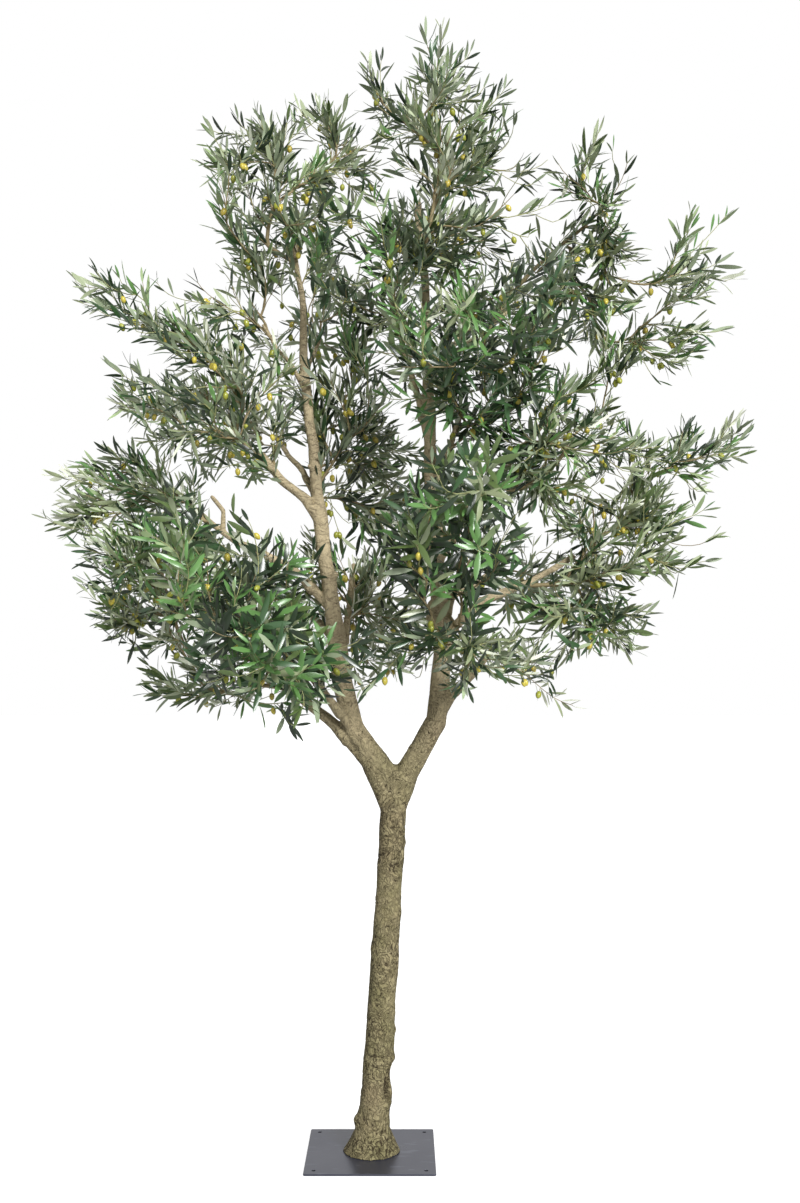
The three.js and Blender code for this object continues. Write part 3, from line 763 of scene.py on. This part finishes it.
# Places where a mass takes more twigs: their middles, and how many
bunches = {
    "leaves_top": [
        (0.10, 0.04, 3.27, 6), (0.22, 0.04, 3.44, 10), (0.37, 0.02, 3.20, 6),
        (0.22, 0.00, 3.15, 8), (0.08, 0.04, 3.31, 4),
    ],
    "leaves_top_front": [(-0.14, 0.05, 3.27, 6), (-0.03, 0.05, 3.38, 6), (0.06, 0.05, 3.28, 3), (-0.05, 0.05, 3.15, 7)],
    "leaves_top_right": [
        (0.53, 0.00, 3.07, 4), (0.37, -0.05, 3.25, 5), (0.33, 0.00, 3.17, 5), (0.31, 0.00, 2.94, 5),
        (0.515, 0.00, 2.98, 3), (0.71, -0.05, 3.16, 3), (0.36, 0.00, 2.88, 5), (0.37, 0.00, 3.08, 7),
        (0.24, 0.00, 2.94, 4),
    ],
    "leaves_upper_left": [
        (-0.30, -0.05, 3.18, 9), (-0.46, -0.10, 2.90, 4), (-0.43, -0.05, 2.83, 9), (-0.22, 0.00, 3.10, 4),
        (-0.42, -0.05, 3.07, 4), (-0.11, 0.00, 3.24, 6), (-0.27, 0.00, 3.14, 6),
    ],
    "leaves_upper_back": [(-0.17, 0.10, 3.08, 4), (-0.30, 0.05, 3.22, 5), (-0.14, 0.08, 3.20, 6)],
    "leaves_high_left": [
        (-0.55, -0.12, 2.58, 10), (-0.40, -0.05, 2.51, 6), (-0.30, -0.05, 2.455, 5), (-0.78, -0.10, 2.30, 5),
        (-0.66, -0.10, 2.59, 8), (-0.49, -0.05, 2.57, 4), (-0.72, -0.10, 2.44, 5), (-0.36, -0.05, 2.49, 4),
    ],
    "leaves_inner_left": [
        (-0.19, 0.10, 2.36, 9), (-0.24, 0.00, 2.42, 6), (-0.16, 0.10, 1.86, 4), (-0.11, 0.05, 2.60, 14),
        (-0.17, 0.05, 2.45, 5), (-0.14, 0.10, 2.22, 10), (-0.05, 0.10, 2.37, 6), (0.00, 0.10, 2.49, 9),
    ],
    "leaves_arch_left": [
        (-0.76, 0.00, 1.98, 14), (-1.00, 0.10, 2.00, 4), (-0.90, 0.05, 2.12, 9), (-0.98, 0.10, 1.97, 3), (-0.74, 0.00, 2.15, 5),
        (-0.82, 0.00, 1.95, 5), (-0.69, 0.00, 2.13, 3),
    ],
    "leaves_inner_low": [
        (-0.02, 0.25, 1.88, 12), (0.06, 0.20, 1.81, 5), (-0.24, 0.10, 1.85, 5), (-0.10, 0.12, 1.865, 7),
        (0.05, 0.20, 1.92, 8), (0.12, 0.20, 1.70, 4), (-0.19, 0.10, 1.83, 4),
        (-0.10, 0.12, 1.91, 6),
    ],
    "leaves_rear_centre": [(0.04, 0.22, 2.33, 13), (0.05, 0.25, 2.14, 6)],
    "leaves_front_left": [(-0.57, -0.30, 1.94, 10)],
    "leaves_low_left": [(-0.22, -0.25, 1.46, 10), (-0.18, -0.20, 1.64, 4), (-0.08, -0.25, 1.55, 5)],
    "leaves_mid_left": [
        (-0.84, -0.10, 1.66, 10), (-0.82, -0.10, 1.87, 9), (-0.75, -0.10, 1.72, 4), (-0.70, -0.10, 1.61, 8), (-0.87, -0.10, 1.83, 6),
    ],
    "leaves_tip_left": [(-0.93, -0.10, 2.65, 3)],
    "leaves_skirt_left": [(-0.64, 0.00, 1.47, 7), (-0.57, 0.00, 1.55, 6)],
    "leaves_heart_high": [(0.23, -0.20, 2.75, 8), (0.08, -0.15, 2.82, 8)],
    "leaves_heart_mid": [(0.37, -0.15, 2.21, 12)],
    "leaves_heart_right": [(0.53, -0.20, 2.49, 5)],
    "leaves_heart_low": [(0.33, -0.25, 1.95, 6)],
    "leaves_high_right": [
        (0.75, 0.00, 2.85, 4), (0.71, 0.00, 2.80, 8), (0.60, 0.00, 2.68, 8), (0.78, 0.00, 2.77, 10), (0.74, 0.00, 3.00, 6),
    ],
    "leaves_shoulder_right": [(0.98, 0.02, 2.73, 6), (1.03, 0.02, 2.91, 4), (1.05, 0.02, 2.74, 6)],
    "leaves_elbow_right": [(0.92, 0.00, 2.52, 4), (0.74, 0.00, 2.53, 9), (1.01, 0.00, 2.55, 4)],
    "leaves_far_right": [(1.02, 0.05, 2.27, 6), (0.72, 0.03, 2.34, 6), (1.12, 0.05, 2.27, 3),
        (0.85, 0.03, 2.28, 6), (0.86, 0.02, 2.05, 10)],
    "leaves_low_right": [
        (0.90, 0.00, 2.00, 10), (0.95, 0.00, 1.87, 4), (0.69, 0.00, 2.15, 4), (0.88, 0.00, 2.15, 6),
        (0.57, 0.00, 1.95, 6), (0.735, 0.00, 1.96, 6), (0.98, 0.00, 1.98, 9),
    ],
    "leaves_mid_right": [(0.43, 0.00, 2.10, 8), (0.50, 0.00, 2.33, 4), (0.54, 0.00, 2.06, 10), (0.56, 0.00, 2.42, 5)],
    "leaves_under_right": [(0.13, -0.25, 1.62, 6), (0.25, -0.20, 1.53, 8), (0.14, -0.20, 1.55, 10)],
    "leaves_skirt_right": [(0.53, -0.10, 1.48, 6), (0.69, -0.10, 1.70, 6), (0.47, -0.10, 1.72, 5), (0.78, -0.10, 1.67, 8), (0.59, -0.10, 1.56, 3)],
}
bunchSpread = 0.05


def inSky(point):  # whether the camera sees the point in one of the openings
    eye = camera["at"]
    scale = eye[1] / (eye[1] - point.y)
    across, height = eye[0] + (point.x - eye[0]) * scale, eye[2] + (point.z - eye[2]) * scale
    return any(
        math.hypot((across - x) / wide, (height - z) / tall) < 1
        for gaps in skyGaps.values() for x, z, wide, tall in gaps
    )


class Mass:  # a foliage solid that twigs fill
    def __init__(self, name):
        self.name = name
        self.habit = {**usual, **habits.get(name, {})}
        points, triangles = corners(name)
        self.shell = BVHTree.FromPolygons(points.tolist(), triangles.tolist())
        a, b, c = (points[triangles[:, k]] for k in range(3))
        parts = np.einsum("ij,ij->i", a, np.cross(b, c)) / 6
        self.volume = parts.sum()
        self.centre = Vector(((a + b + c) / 4 * parts[:, None]).sum(0) / self.volume)
        reach, edge = growth["skin"][0], growth["margin"]
        self.low, self.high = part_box(name)
        for i in range(3):
            self.low[i] = max(self.low[i] + reach, cadBox[0][i] + edge)
            self.high[i] = min(self.high[i] - reach, cadBox[1][i] - edge)

    def depth(self, point):  # below the surface, and less than 0 outside
        near, normal, _, distance = self.shell.find_nearest(point)
        return distance if (point - near).dot(normal) < 0 else -distance

    def somePoint(self, rng):  # a point inside, most of them close under the surface
        while True:
            point = Vector([rng.uniform(self.low[i], self.high[i]) for i in range(3)])
            if inSky(point):
                continue
            deep = self.depth(point)
            if deep > rng.uniform(*growth["skin"]) and (deep < growth["core"] or rng.random() < growth["inner"]):
                return point


class Skeleton:  # every point of the limbs and twigs, and what it grew from
    def __init__(self, room=60000):
        points, triangles, count = [], [], 0
        for name in massNames:
            own, faces = corners(name)
            points += own.tolist()
            triangles += (faces + count).tolist()
            count = len(points)
        self.shells = BVHTree.FromPolygons(points, triangles)
        self.points = np.zeros((room, 3))
        self.ahead = np.zeros((room, 3))
        self.parent = np.full(room, -1)
        self.open = np.zeros(room, bool)
        self.count = 0

    def add(self, point, ahead, parent, isOpen):
        index = self.count
        self.points[index] = point
        self.ahead[index] = ahead
        self.parent[index] = parent
        self.open[index] = isOpen
        self.count += 1
        return index

    def addLimb(self, line):
        spots = [crooked(Vector(centre)) for centre, _ in line]
        parent = -1
        for k, one in enumerate(spots):
            ahead = (spots[min(k + 1, len(spots) - 1)] - spots[max(k - 1, 0)]).normalized()
            parent = self.add(one, ahead, parent, True)

    def skyShare(self, start, target):  # how much of the way between them is outside every mass
        outside = 0
        for step in range(1, 6):
            here = start.lerp(target, step / 6)
            near, normal, _, distance = self.shells.find_nearest(here)
            outside += distance > 0.02 and (here - near).dot(normal) > 0
        return outside / 5

    def bestStart(self, target):  # close, not so that a twig turns back, and with little open sky on the way
        span = np.array(target) - self.points[:self.count]
        far = np.linalg.norm(span, axis=1)
        away = span / np.maximum(far, 1e-9)[:, None]
        facing = np.einsum("ij,ij->i", away, self.ahead[:self.count])
        cost = far * (1.6 - growth["turnCost"] * facing + growth["sinkCost"] * np.maximum(0.0, -away[:, 2]))
        cost[~self.open[:self.count] | (far < growth["nearest"])] = 1e9
        offers = cost.argsort()[:growth["offers"] * 3:3]
        return int(min(offers, key=lambda k: cost[k] * (
            1.0 + growth["skyCost"] * self.skyShare(Vector(self.points[k]), Vector(target))
        )))

    def growTo(self, target, outward, rng):
        start = self.bestStart(target)
        stray = [Vector([rng.gauss(0, growth["waver"]) for _ in range(3)]) for _ in range(2)]
        root = Vector(self.points[start])
        span = target - root
        reach = span.length
        away = span.normalized()
        leave = (Vector(self.ahead[start]) * 0.45 + away * 0.8 + stray[0]).normalized() * reach
        arrive = (away * 0.7 + outward * 0.4 + up * 0.45 + stray[1]).normalized() * reach
        count = max(4, round(reach / growth["step"]))
        chain = [start]
        before = root
        for k in range(1, count + 1):
            t = k / count
            here = (
                root * (2 * t ** 3 - 3 * t ** 2 + 1) + leave * (t ** 3 - 2 * t ** 2 + t)
                + target * (3 * t ** 2 - 2 * t ** 3) + arrive * (t ** 3 - t ** 2)
            )
            stays = (1 - t) * reach > growth["bare"]
            chain.append(self.add(here, (here - before).normalized(), chain[-1], stays))
            before = here
        return chain


def ownRandom(seed, mass):  # the same for a mass whatever the others hold
    return random.Random(f"{seed} {mass.name}")


def bunchTip(middle, rng):
    while True:
        point = Vector([rng.gauss(c, bunchSpread) for c in middle])
        if not inSky(point):
            return point


def spacedTips(mass, rng):  # tips inside a mass, each the best spaced of a few tries
    count = max(6, round(growth["twigsPerArea"] * mass.habit["full"] * mass.volume ** (2 / 3)))
    tips = []
    for _ in range(count):
        offers = [mass.somePoint(rng) for _ in range(growth["tries"])]
        tips.append(max(offers, key=lambda p: min(((p - q).length for q in tips), default=1.0)))
    for *middle, extra in bunches.get(mass.name, []):
        tips += [bunchTip(middle, rng) for _ in range(extra)]
    return tips


def growCrown():
    masses = [Mass(name) for name in massNames]
    skeleton = Skeleton()
    for limb, line in limbLines.items():
        if limb != "trunk":
            skeleton.addLimb(line)
    limbPoints = skeleton.count
    masses.sort(key=lambda m: np.linalg.norm(skeleton.points[:limbPoints] - np.array(m.centre), axis=1).min())
    twigs = []
    trunkTop = Vector(limbLines["trunk"][-1][0])
    for mass in masses:
        rng = ownRandom(growth["seed"], mass)
        tips = spacedTips(mass, rng)
        root = Vector(skeleton.points[skeleton.bestStart(mass.centre)])
        tips.sort(key=lambda p: (p - root).length)
        leader = tips.pop()
        for tip in [leader, *tips]:
            outward = (tip - mass.centre).normalized() + (tip - trunkTop).normalized()
            chain = skeleton.growTo(tip, outward, rng)
            kind = "fresh" if rng.random() < mass.habit["fresh"] else None
            twigs.append({"chain": chain, "mass": mass, "kind": kind})
    load = np.zeros(skeleton.count)
    for twig in twigs:
        at = twig["chain"][-1]
        while at >= limbPoints:
            load[at] += 1
            at = skeleton.parent[at]
    print(f"grew {len(twigs)} twigs")
    return skeleton, twigs, load, limbPoints


skeleton, twigs, load, limbPoints = growCrown()


def attributeMesh(name, points, attributes, edges=()):  # points with named values, for a geometry node tree
    mesh = bpy.data.meshes.new(name)
    mesh.from_pydata([tuple(p) for p in points], edges, [])
    for label, (kind, values) in attributes.items():
        layer = mesh.attributes.new(label, kind, "POINT")
        field = "vector" if kind == "FLOAT_VECTOR" else "value"
        layer.data.foreach_set(field, np.array(values, float if kind != "INT" else int).ravel())
    return mesh


def attributeWire(g, name, kind="FLOAT"):
    return g.node("GeometryNodeInputNamedAttribute", {"data_type": kind}, {"Name": name})


def isNear(g, value, target):
    return g.node("FunctionNodeCompare", {"operation": "EQUAL"}, {0: value, 1: target, 12: 0.3})


def painted(g, shape, skin, chosen=True):
    return g.node("GeometryNodeSetMaterial", None, {"Geometry": shape, "Selection": chosen, "Material": skin})


def anyAround(g, spread, seed):  # a random factor around 1 for each point
    values = {2: 1.0 - spread, 3: spread + 1.0, "Seed": seed}
    return g.node("FunctionNodeRandomValue", {"data_type": "FLOAT"}, values, output=1)


def newGeometryTree(name, inputs):  # a tree with named inputs: its graph, the inputs' wires, and its output node
    tree = bpy.data.node_groups.new(name, "GeometryNodeTree")
    tree.interface.new_socket("Geometry", in_out="INPUT", socket_type="NodeSocketGeometry")
    tree.interface.new_socket("Geometry", in_out="OUTPUT", socket_type="NodeSocketGeometry")
    for label, kind in inputs.items():
        tree.interface.new_socket(label, in_out="INPUT", socket_type=kind)
    g = Graph(tree)
    source = tree.nodes.new("NodeGroupInput")
    sink = tree.nodes.new("NodeGroupOutput")
    return g, {socket.name: Wire(g, socket) for socket in source.outputs if socket.name}, sink


def useTree(piece, g, settings):  # adds the tree as a modifier, with its inputs set by identifier
    modifier = piece.modifiers.new(g.tree.name, "NODES")
    modifier.node_group = g.tree
    for item in g.tree.interface.items_tree:
        if item.in_out == "INPUT" and item.name in settings:
            modifier[item.identifier] = settings[item.name]
    return settle(piece)


def twigTree():
    g, wires, sink = newGeometryTree("twig rods", {"Thickness": "NodeSocketFloat", "Sides": "NodeSocketInt"})
    line = g.node("GeometryNodeMeshToCurve", None, {"Mesh": wires["Geometry"]})
    ring = g.node("GeometryNodeCurvePrimitiveCircle", None, {"Resolution": wires["Sides"], "Radius": 1.0})
    girth = attributeWire(g, "thick") * wires["Thickness"]
    rods = g.node("GeometryNodeCurveToMesh", None, {
        "Curve": line, "Profile Curve": ring, "Scale": girth, "Fill Caps": True,
    })
    solid = g.node("GeometryNodeRealizeInstances", None, {"Geometry": rods})
    green = painted(g, solid, stalkGreen)
    brown = painted(g, green, stalkBrown, isNear(g, attributeWire(g, "old"), 1.0))
    g.tree.links.new(brown.socket, sink.inputs[0])
    return g


def makeTwigs():
    points, thick, old, edges = [], [], [], []
    for twig in twigs:
        chain = twig["chain"]
        own = load[chain[1]]
        for k, node in enumerate(chain):
            carried = own if k == 0 else load[node]
            radius = min(growth["stoutest"], growth["tipRadius"] * carried ** growth["loadPower"])
            if k:
                edges.append((len(points) - 1, len(points)))
            points.append(skeleton.points[node])
            thick.append(radius * (0.7 if k == len(chain) - 1 else 1.0))
            old.append(1.0 if own > 3 else 0.0)
    mesh = attributeMesh("twigs", points, {"thick": ("FLOAT", thick), "old": ("FLOAT", old)}, edges)
    piece = useTree(newObject("twigs", mesh), twigTree(), {"Thickness": 1.0, "Sides": 5})
    piece.data.shade_smooth()
    dress(piece)
    print(f"twigs have {len(piece.data.polygons)} faces")


makeTwigs()


leafShape = {
    "length": 0.078, "width": 0.0128, "spread": 0.14, "ridge": 0.15,
    "stations": [  # along and wide
        (0.0, 0.0), (0.07, 0.14), (0.24, 0.74), (0.48, 1.0), (0.73, 0.86), (0.91, 0.42), (1.0, 0.0),
    ],
}
# Leaf blanks differ in how far they bend down, bend sideways and twist
leafBlanks = [(0.08, 0.3, 0.0), (0.20, -0.5, 0.7), (-0.10, 0.4, -0.5), (0.30, 0.2, 0.4), (0.10, -0.8, -0.9)]

spray = {
    "seed": 23, "gap": 0.0305, "leafy": 0.34, "clear": 0.02,
    "spreadAngle": (30, 54), "jitter": 11, "turn": 90, "turnJitter": 26, "lift": 0.06,
    "rise": 0.4, "outward": 0.9, "loose": 0.22,  # how far faces turn up, away from the trunk, and astray
    "whorl": [(24, 0.78), (52, 1.0), (74, 1.04)],  # the angle and size of each of its pairs, from the tip
    "whorlGap": 0.011, "whorlTurn": 60,
    "missing": 0.06,  # share of the leaves left out
}


def leafBlank(name, bend, sway, twist):  # a closed leaf of unit length and width, with its tip at +X
    bm = bmesh.new()
    slim = leafShape["width"] / leafShape["length"]  # heights are in lengths, like the bend
    side = bm.faces.layers.float.new("under")

    def rowAt(along, half):  # right edge, raised midrib and left edge
        turn = twist * along
        middle = Vector((along, sway * along * along, -bend * along * along))
        out = Vector((0, math.cos(turn), math.sin(turn) * slim)) * half / 2
        ridge = Vector((0, -math.sin(turn), math.cos(turn) * slim)) * leafShape["ridge"] * half
        if half == 0:
            return [bm.verts.new(middle)] * 3
        return [bm.verts.new(middle - out), bm.verts.new(middle + ridge), bm.verts.new(middle + out)]

    rows = [rowAt(*station) for station in leafShape["stations"]]
    for near, far in zip(rows, rows[1:]):
        for under, right, left in ((0, 0, 1), (0, 1, 2), (1, 2, 0)):
            loop = list(dict.fromkeys((near[right], far[right], far[left], near[left])))
            face = bm.faces.new(loop)
            face[side] = under
            face.smooth = True
    bmesh.ops.triangulate(bm, faces=bm.faces)
    for edge in bm.edges:
        edge.smooth = len({face[side] for face in edge.link_faces}) == 1
    mesh = bpy.data.meshes.new(name)
    bm.to_mesh(mesh)
    bm.free()
    return mesh


def leafTree(blanks):
    g, wires, sink = newGeometryTree("leaf sprays", {
        "Length": "NodeSocketFloat", "Width": "NodeSocketFloat", "Spread": "NodeSocketFloat",
        "Seed": "NodeSocketInt",
    })
    shapes = g.node("GeometryNodeCollectionInfo", None, {0: blanks, 1: True, 2: True})
    size = attributeWire(g, "size")
    length = anyAround(g, wires["Spread"], wires["Seed"]) * wires["Length"] * size
    width = anyAround(g, wires["Spread"], wires["Seed"] + 1) * wires["Width"] * size * attributeWire(g, "wide")
    turn = g.node("FunctionNodeAxesToRotation", {"primary_axis": "X", "secondary_axis": "Z"}, {
        0: attributeWire(g, "aim", "FLOAT_VECTOR"), 1: attributeWire(g, "face", "FLOAT_VECTOR"),
    })
    put = g.node("GeometryNodeInstanceOnPoints", None, {
        "Points": wires["Geometry"], "Instance": shapes, "Pick Instance": True,
        "Instance Index": attributeWire(g, "blank", "INT"), "Rotation": turn,
        "Scale": g.node("ShaderNodeCombineXYZ", None, {0: length, 1: width, 2: length}),
    })
    leaves = g.node("GeometryNodeRealizeInstances", None, {"Geometry": put})
    tint = attributeWire(g, "tint")
    under = attributeWire(g, "under") * 10.0
    for side, skins in ((0, upperSides), (1, underSides)):
        for index, skin in enumerate(skins):
            leaves = painted(g, leaves, skin, isNear(g, tint + under, side * 10.0 + index))
    g.tree.links.new(leaves.socket, sink.inputs[0])
    return g


def pointsAlong(chain, gap, leafy, clear, tight=0):  # places and headings down a twig from its tip
    nodes = [Vector(skeleton.points[n]) for n in chain]
    left = clear / 2
    travelled = 0.0
    for near, far in zip(reversed(nodes[:-1]), reversed(nodes[1:])):
        length = (far - near).length
        heading = (far - near).normalized()
        while left < length:
            yield far.lerp(near, left / length), heading, travelled + left
            left += spray["whorlGap"] if tight > 0 else gap
            tight -= 1
            if travelled + left > leafy:
                return
        left -= length
        travelled += length


def crownPart(mass):  # the joined piece that a mass's leaves go into
    side = "left" if mass.centre.x < 0.05 else "right"
    if mass.centre.z > 2.72:
        return "leaves_top_" + side
    if mass.centre.y > 0.25:
        return "leaves_back_" + side
    return ("leaves_high_" if mass.centre.z > 2.0 else "leaves_low_") + side


leafKeys = ("points", "aim", "face", "size", "wide", "tint", "blank")
crownHeart = Vector((0.05, 0.05, 1.9))  # leaves face away from it


def dealLeaves():
    kinds = list(leafDyes)
    parts = {}
    chance = {}
    for twig in twigs:
        mass = twig["mass"]
        rng = chance.setdefault(mass.name, ownRandom(spray["seed"], mass))
        part = parts.setdefault(crownPart(mass), {key: [] for key in leafKeys})
        chances = [leafDyes[k][2] * (mass.habit["grey"] if k in oliveAndGrey else 1.0) for k in kinds]
        tint = kinds.index(twig["kind"] or rng.choices(kinds, chances)[0])
        vigour = rng.uniform(0.88, 1.12)
        turn = rng.uniform(0, 360)
        whorl = spray["whorl"] if rng.random() < mass.habit["whorl"] else []
        gap = spray["gap"] * vigour / mass.habit["close"]
        for step, (here, heading, back) in enumerate(
            pointsAlong(twig["chain"], gap, spray["leafy"], spray["clear"], len(whorl) - 1)
        ):
            inWhorl = step < len(whorl)
            turn += (spray["whorlTurn"] if inWhorl else spray["turn"]) + rng.uniform(-1, 1) * spray["turnJitter"]
            share = min(1.0, back / spray["leafy"])
            size = vigour * mass.habit["leaf"]
            size *= (
                whorl[step][1] if inWhorl else 0.66 if step == 0
                else 0.66 + 0.34 * math.sin(math.pi * min(1.0, 0.14 + share * 1.3))
            )
            outward = (here - crownHeart).normalized() * spray["outward"]
            across = heading.orthogonal().normalized()
            across.rotate(Matrix.Rotation(math.radians(turn), 3, heading))
            for sign in (1, -1):
                if step and rng.random() < spray["missing"]:
                    continue
                low, high = spray["spreadAngle"]
                angle = math.radians(rng.uniform(-1, 1) * spray["jitter"] + (
                    whorl[step][0] if inWhorl
                    else mass.habit["splay"] + low + share * (high - low) - (14 if step == 0 else 0)
                ))
                side = across * sign
                aim = heading * math.cos(angle) + side * math.sin(angle) + up * spray["lift"]
                face = (heading * math.sin(angle) - side * math.cos(angle)) * 0.5 + outward + up * spray["rise"]
                turned = mass.habit["turned"]
                face = face + Vector([rng.gauss(0, spray["loose"] + turned * 0.4) for _ in range(3)])
                if rng.random() < turned:
                    face = -face
                if inSky(here + aim.normalized() * leafShape["length"] * size * 0.6):
                    continue
                part["points"].append(here)
                part["aim"].append(aim.normalized())
                part["face"].append(face.normalized())
                part["size"].append(size * rng.uniform(0.92, 1.06))
                part["wide"].append(mass.habit["broad"])
                part["tint"].append(float(tint))
                part["blank"].append(rng.randrange(len(leafBlanks)))
    return parts


def makeLeaves():
    blanks = bpy.data.collections.new("leaf blanks")
    for index, bends in enumerate(leafBlanks):
        name = f"leaf_blank_{index}"
        blanks.objects.link(bpy.data.objects.new(name, leafBlank(name, *bends)))
    bpy.context.scene.collection.children.link(blanks)
    parts = dealLeaves()
    tree = leafTree(blanks)
    total = 0
    for name, part in sorted(parts.items()):
        mesh = attributeMesh(name, part["points"], {
            "aim": ("FLOAT_VECTOR", part["aim"]), "face": ("FLOAT_VECTOR", part["face"]),
            "size": ("FLOAT", part["size"]), "wide": ("FLOAT", part["wide"]), "tint": ("FLOAT", part["tint"]), "blank": ("INT", part["blank"]),
        })
        piece = useTree(newObject(name, mesh), tree, {
            "Length": leafShape["length"], "Width": leafShape["width"], "Spread": leafShape["spread"], "Seed": 5,
        })
        for extra in ("aim", "face", "size", "wide", "tint", "blank", "under"):
            if extra in piece.data.attributes:
                piece.data.attributes.remove(piece.data.attributes[extra])
        held = {twig["mass"].name for twig in twigs if crownPart(twig["mass"]) == name}
        dress(piece, sorted(held))
        total += len(part["points"])
        print(f"{name}: {len(part['points'])} leaves, {len(piece.data.polygons)} faces")
    for blank in list(blanks.objects):
        bpy.data.objects.remove(blank)
    bpy.data.collections.remove(blanks)
    print(f"{total} leaves")


makeLeaves()


olives = {
    "seed": 31, "share": 0.27, "pair": 0.2,
    "length": 0.0235, "width": 0.017, "stalk": 0.013, "stalkRadius": 0.0009,
}


def oliveBlank():  # an olive hanging on its stalk below the origin, with a small point
    bm = bmesh.new()
    skin = bm.faces.layers.float.new("under")
    rings, sides = 6, 8
    shaft = Matrix.Translation((0, 0, -olives["stalk"] / 2))
    made = bmesh.ops.create_cone(
        bm, cap_ends=True, segments=4, radius1=olives["stalkRadius"], radius2=olives["stalkRadius"],
        depth=olives["stalk"] * 1.1, matrix=shaft,
    )
    for vertex in made["verts"]:
        for face in vertex.link_faces:
            face[skin] = 1
    made = bmesh.ops.create_uvsphere(bm, u_segments=sides, v_segments=rings, radius=0.5)
    for vertex in made["verts"]:
        z = vertex.co.z
        vertex.co.x *= olives["width"] * (1 + 0.12 * z)
        vertex.co.y *= olives["width"] * (1 + 0.12 * z)
        tall = olives["length"] * (1.08 if z < -0.45 else 1.0)
        vertex.co.z = z * tall - olives["stalk"] - olives["length"] / 2
    for face in bm.faces:
        face.smooth = True
    mesh = bpy.data.meshes.new("olive_blank")
    bm.to_mesh(mesh)
    bm.free()
    return mesh


def oliveTree(blank):
    g, wires, sink = newGeometryTree("olives", {
        "Size": "NodeSocketFloat", "Spread": "NodeSocketFloat", "Seed": "NodeSocketInt",
    })
    shape = g.node("GeometryNodeObjectInfo", None, {"Object": blank}, output="Geometry")
    some = anyAround(g, wires["Spread"], wires["Seed"])
    turn = g.node("FunctionNodeAxesToRotation", {"primary_axis": "Z", "secondary_axis": "X"}, {
        0: attributeWire(g, "aim", "FLOAT_VECTOR"), 1: attributeWire(g, "face", "FLOAT_VECTOR"),
    })
    put = g.node("GeometryNodeInstanceOnPoints", None, {
        "Points": wires["Geometry"], "Instance": shape, "Rotation": turn, "Scale": some * wires["Size"],
    })
    fruit = g.node("GeometryNodeRealizeInstances", None, {"Geometry": put})
    for index, skin in enumerate(oliveSkins):
        fruit = painted(g, fruit, skin, isNear(g, attributeWire(g, "tint"), float(index)))
    fruit = painted(g, fruit, stalkGreen, isNear(g, attributeWire(g, "under"), 1.0))
    g.tree.links.new(fruit.socket, sink.inputs[0])
    return g


def makeOlives():
    rng = random.Random(olives["seed"])
    points, aim, face, tint = [], [], [], []
    for twig in twigs:
        if rng.random() > olives["share"]:
            continue
        spots = list(pointsAlong(twig["chain"], spray["gap"], spray["leafy"], spray["clear"]))
        spot = rng.choice(spots[min(2, len(spots) - 1):])
        kind = float(rng.choices(range(len(oliveSkins)), (5, 4, 2))[0])
        for _ in range(2 if rng.random() < olives["pair"] else 1):
            points.append(spot[0])
            aim.append((up + Vector([rng.gauss(0, 0.32) for _ in range(3)])).normalized())
            face.append(Vector((rng.gauss(0, 1), rng.gauss(0, 1), 0.1)).normalized())
            tint.append(kind)
    blank = newObject("olive_blank", oliveBlank())
    mesh = attributeMesh("olives", points, {
        "aim": ("FLOAT_VECTOR", aim), "face": ("FLOAT_VECTOR", face), "tint": ("FLOAT", tint),
    })
    piece = useTree(newObject("olives", mesh), oliveTree(blank), {"Size": 1.0, "Spread": 0.12, "Seed": 3})
    for extra in ("aim", "face", "tint", "under"):
        if extra in piece.data.attributes:
            piece.data.attributes.remove(piece.data.attributes[extra])
    bpy.data.objects.remove(blank)
    dress(piece)
    print(f"{len(points)} olives, {len(piece.data.polygons)} faces")


makeOlives()


studio = {
    "floor": dye(180, 180, 180), "floorGlow": 0.8, "floorSize": 60.0,  # it glows only towards the camera
    "sky": (1.0, 1.0, 1.0, 1.0), "skyStrength": 0.42,
    "sun": {"from": (0.5, -1.0, 0.52), "angle": 20.0, "power": 4.7},
    "fill": {"from": (-0.8, -0.6, 0.35), "angle": 60.0, "power": 0.3},
    "back": {"from": (0.1, 1.0, 0.7), "angle": 60.0, "power": 0.4},
}


def addFloor():
    bm = bmesh.new()
    bmesh.ops.create_grid(bm, x_segments=2, y_segments=2, size=studio["floorSize"] / 2)
    mesh = bpy.data.meshes.new("floor")
    bm.to_mesh(mesh)
    bm.free()
    mesh.transform(Matrix.Translation((0, 0, cadBox[0].z)))
    pale, surface, g = newMaterial("pale floor", 0.8, studio["floor"], Emission_Strength=studio["floorGlow"])
    seen = g.node("ShaderNodeLightPath", output="Is Camera Ray")
    g.tree.links.new(g.ramp(seen, (0.0, 0.0), (1.0, 1.0)).socket, surface.inputs["Emission Color"])
    mesh.materials.append(pale)
    newObject("floor", mesh)


def addLights():
    world = bpy.data.worlds.new("studio")
    world.use_nodes = True
    g = Graph(world.node_tree)
    sky = world.node_tree.nodes["Background"]
    sky.inputs["Color"].default_value = studio["sky"]
    seen = g.node("ShaderNodeLightPath", output="Is Camera Ray")
    strength = seen * (1.0 - studio["skyStrength"]) + studio["skyStrength"]
    g.tree.links.new(strength.socket, sky.inputs["Strength"])  # the backdrop shows white, and lights more softly
    bpy.context.scene.world = world
    for name in ("sun", "fill", "back"):
        lamp = bpy.data.lights.new(name, "SUN")
        lamp.angle = math.radians(studio[name]["angle"])
        lamp.energy = studio[name]["power"]
        light = newObject(name, lamp)
        light.rotation_euler = Vector(studio[name]["from"]).to_track_quat("Z", "Y").to_euler()


addFloor()
addLights()
bpy.context.scene.view_settings.view_transform = "Standard"
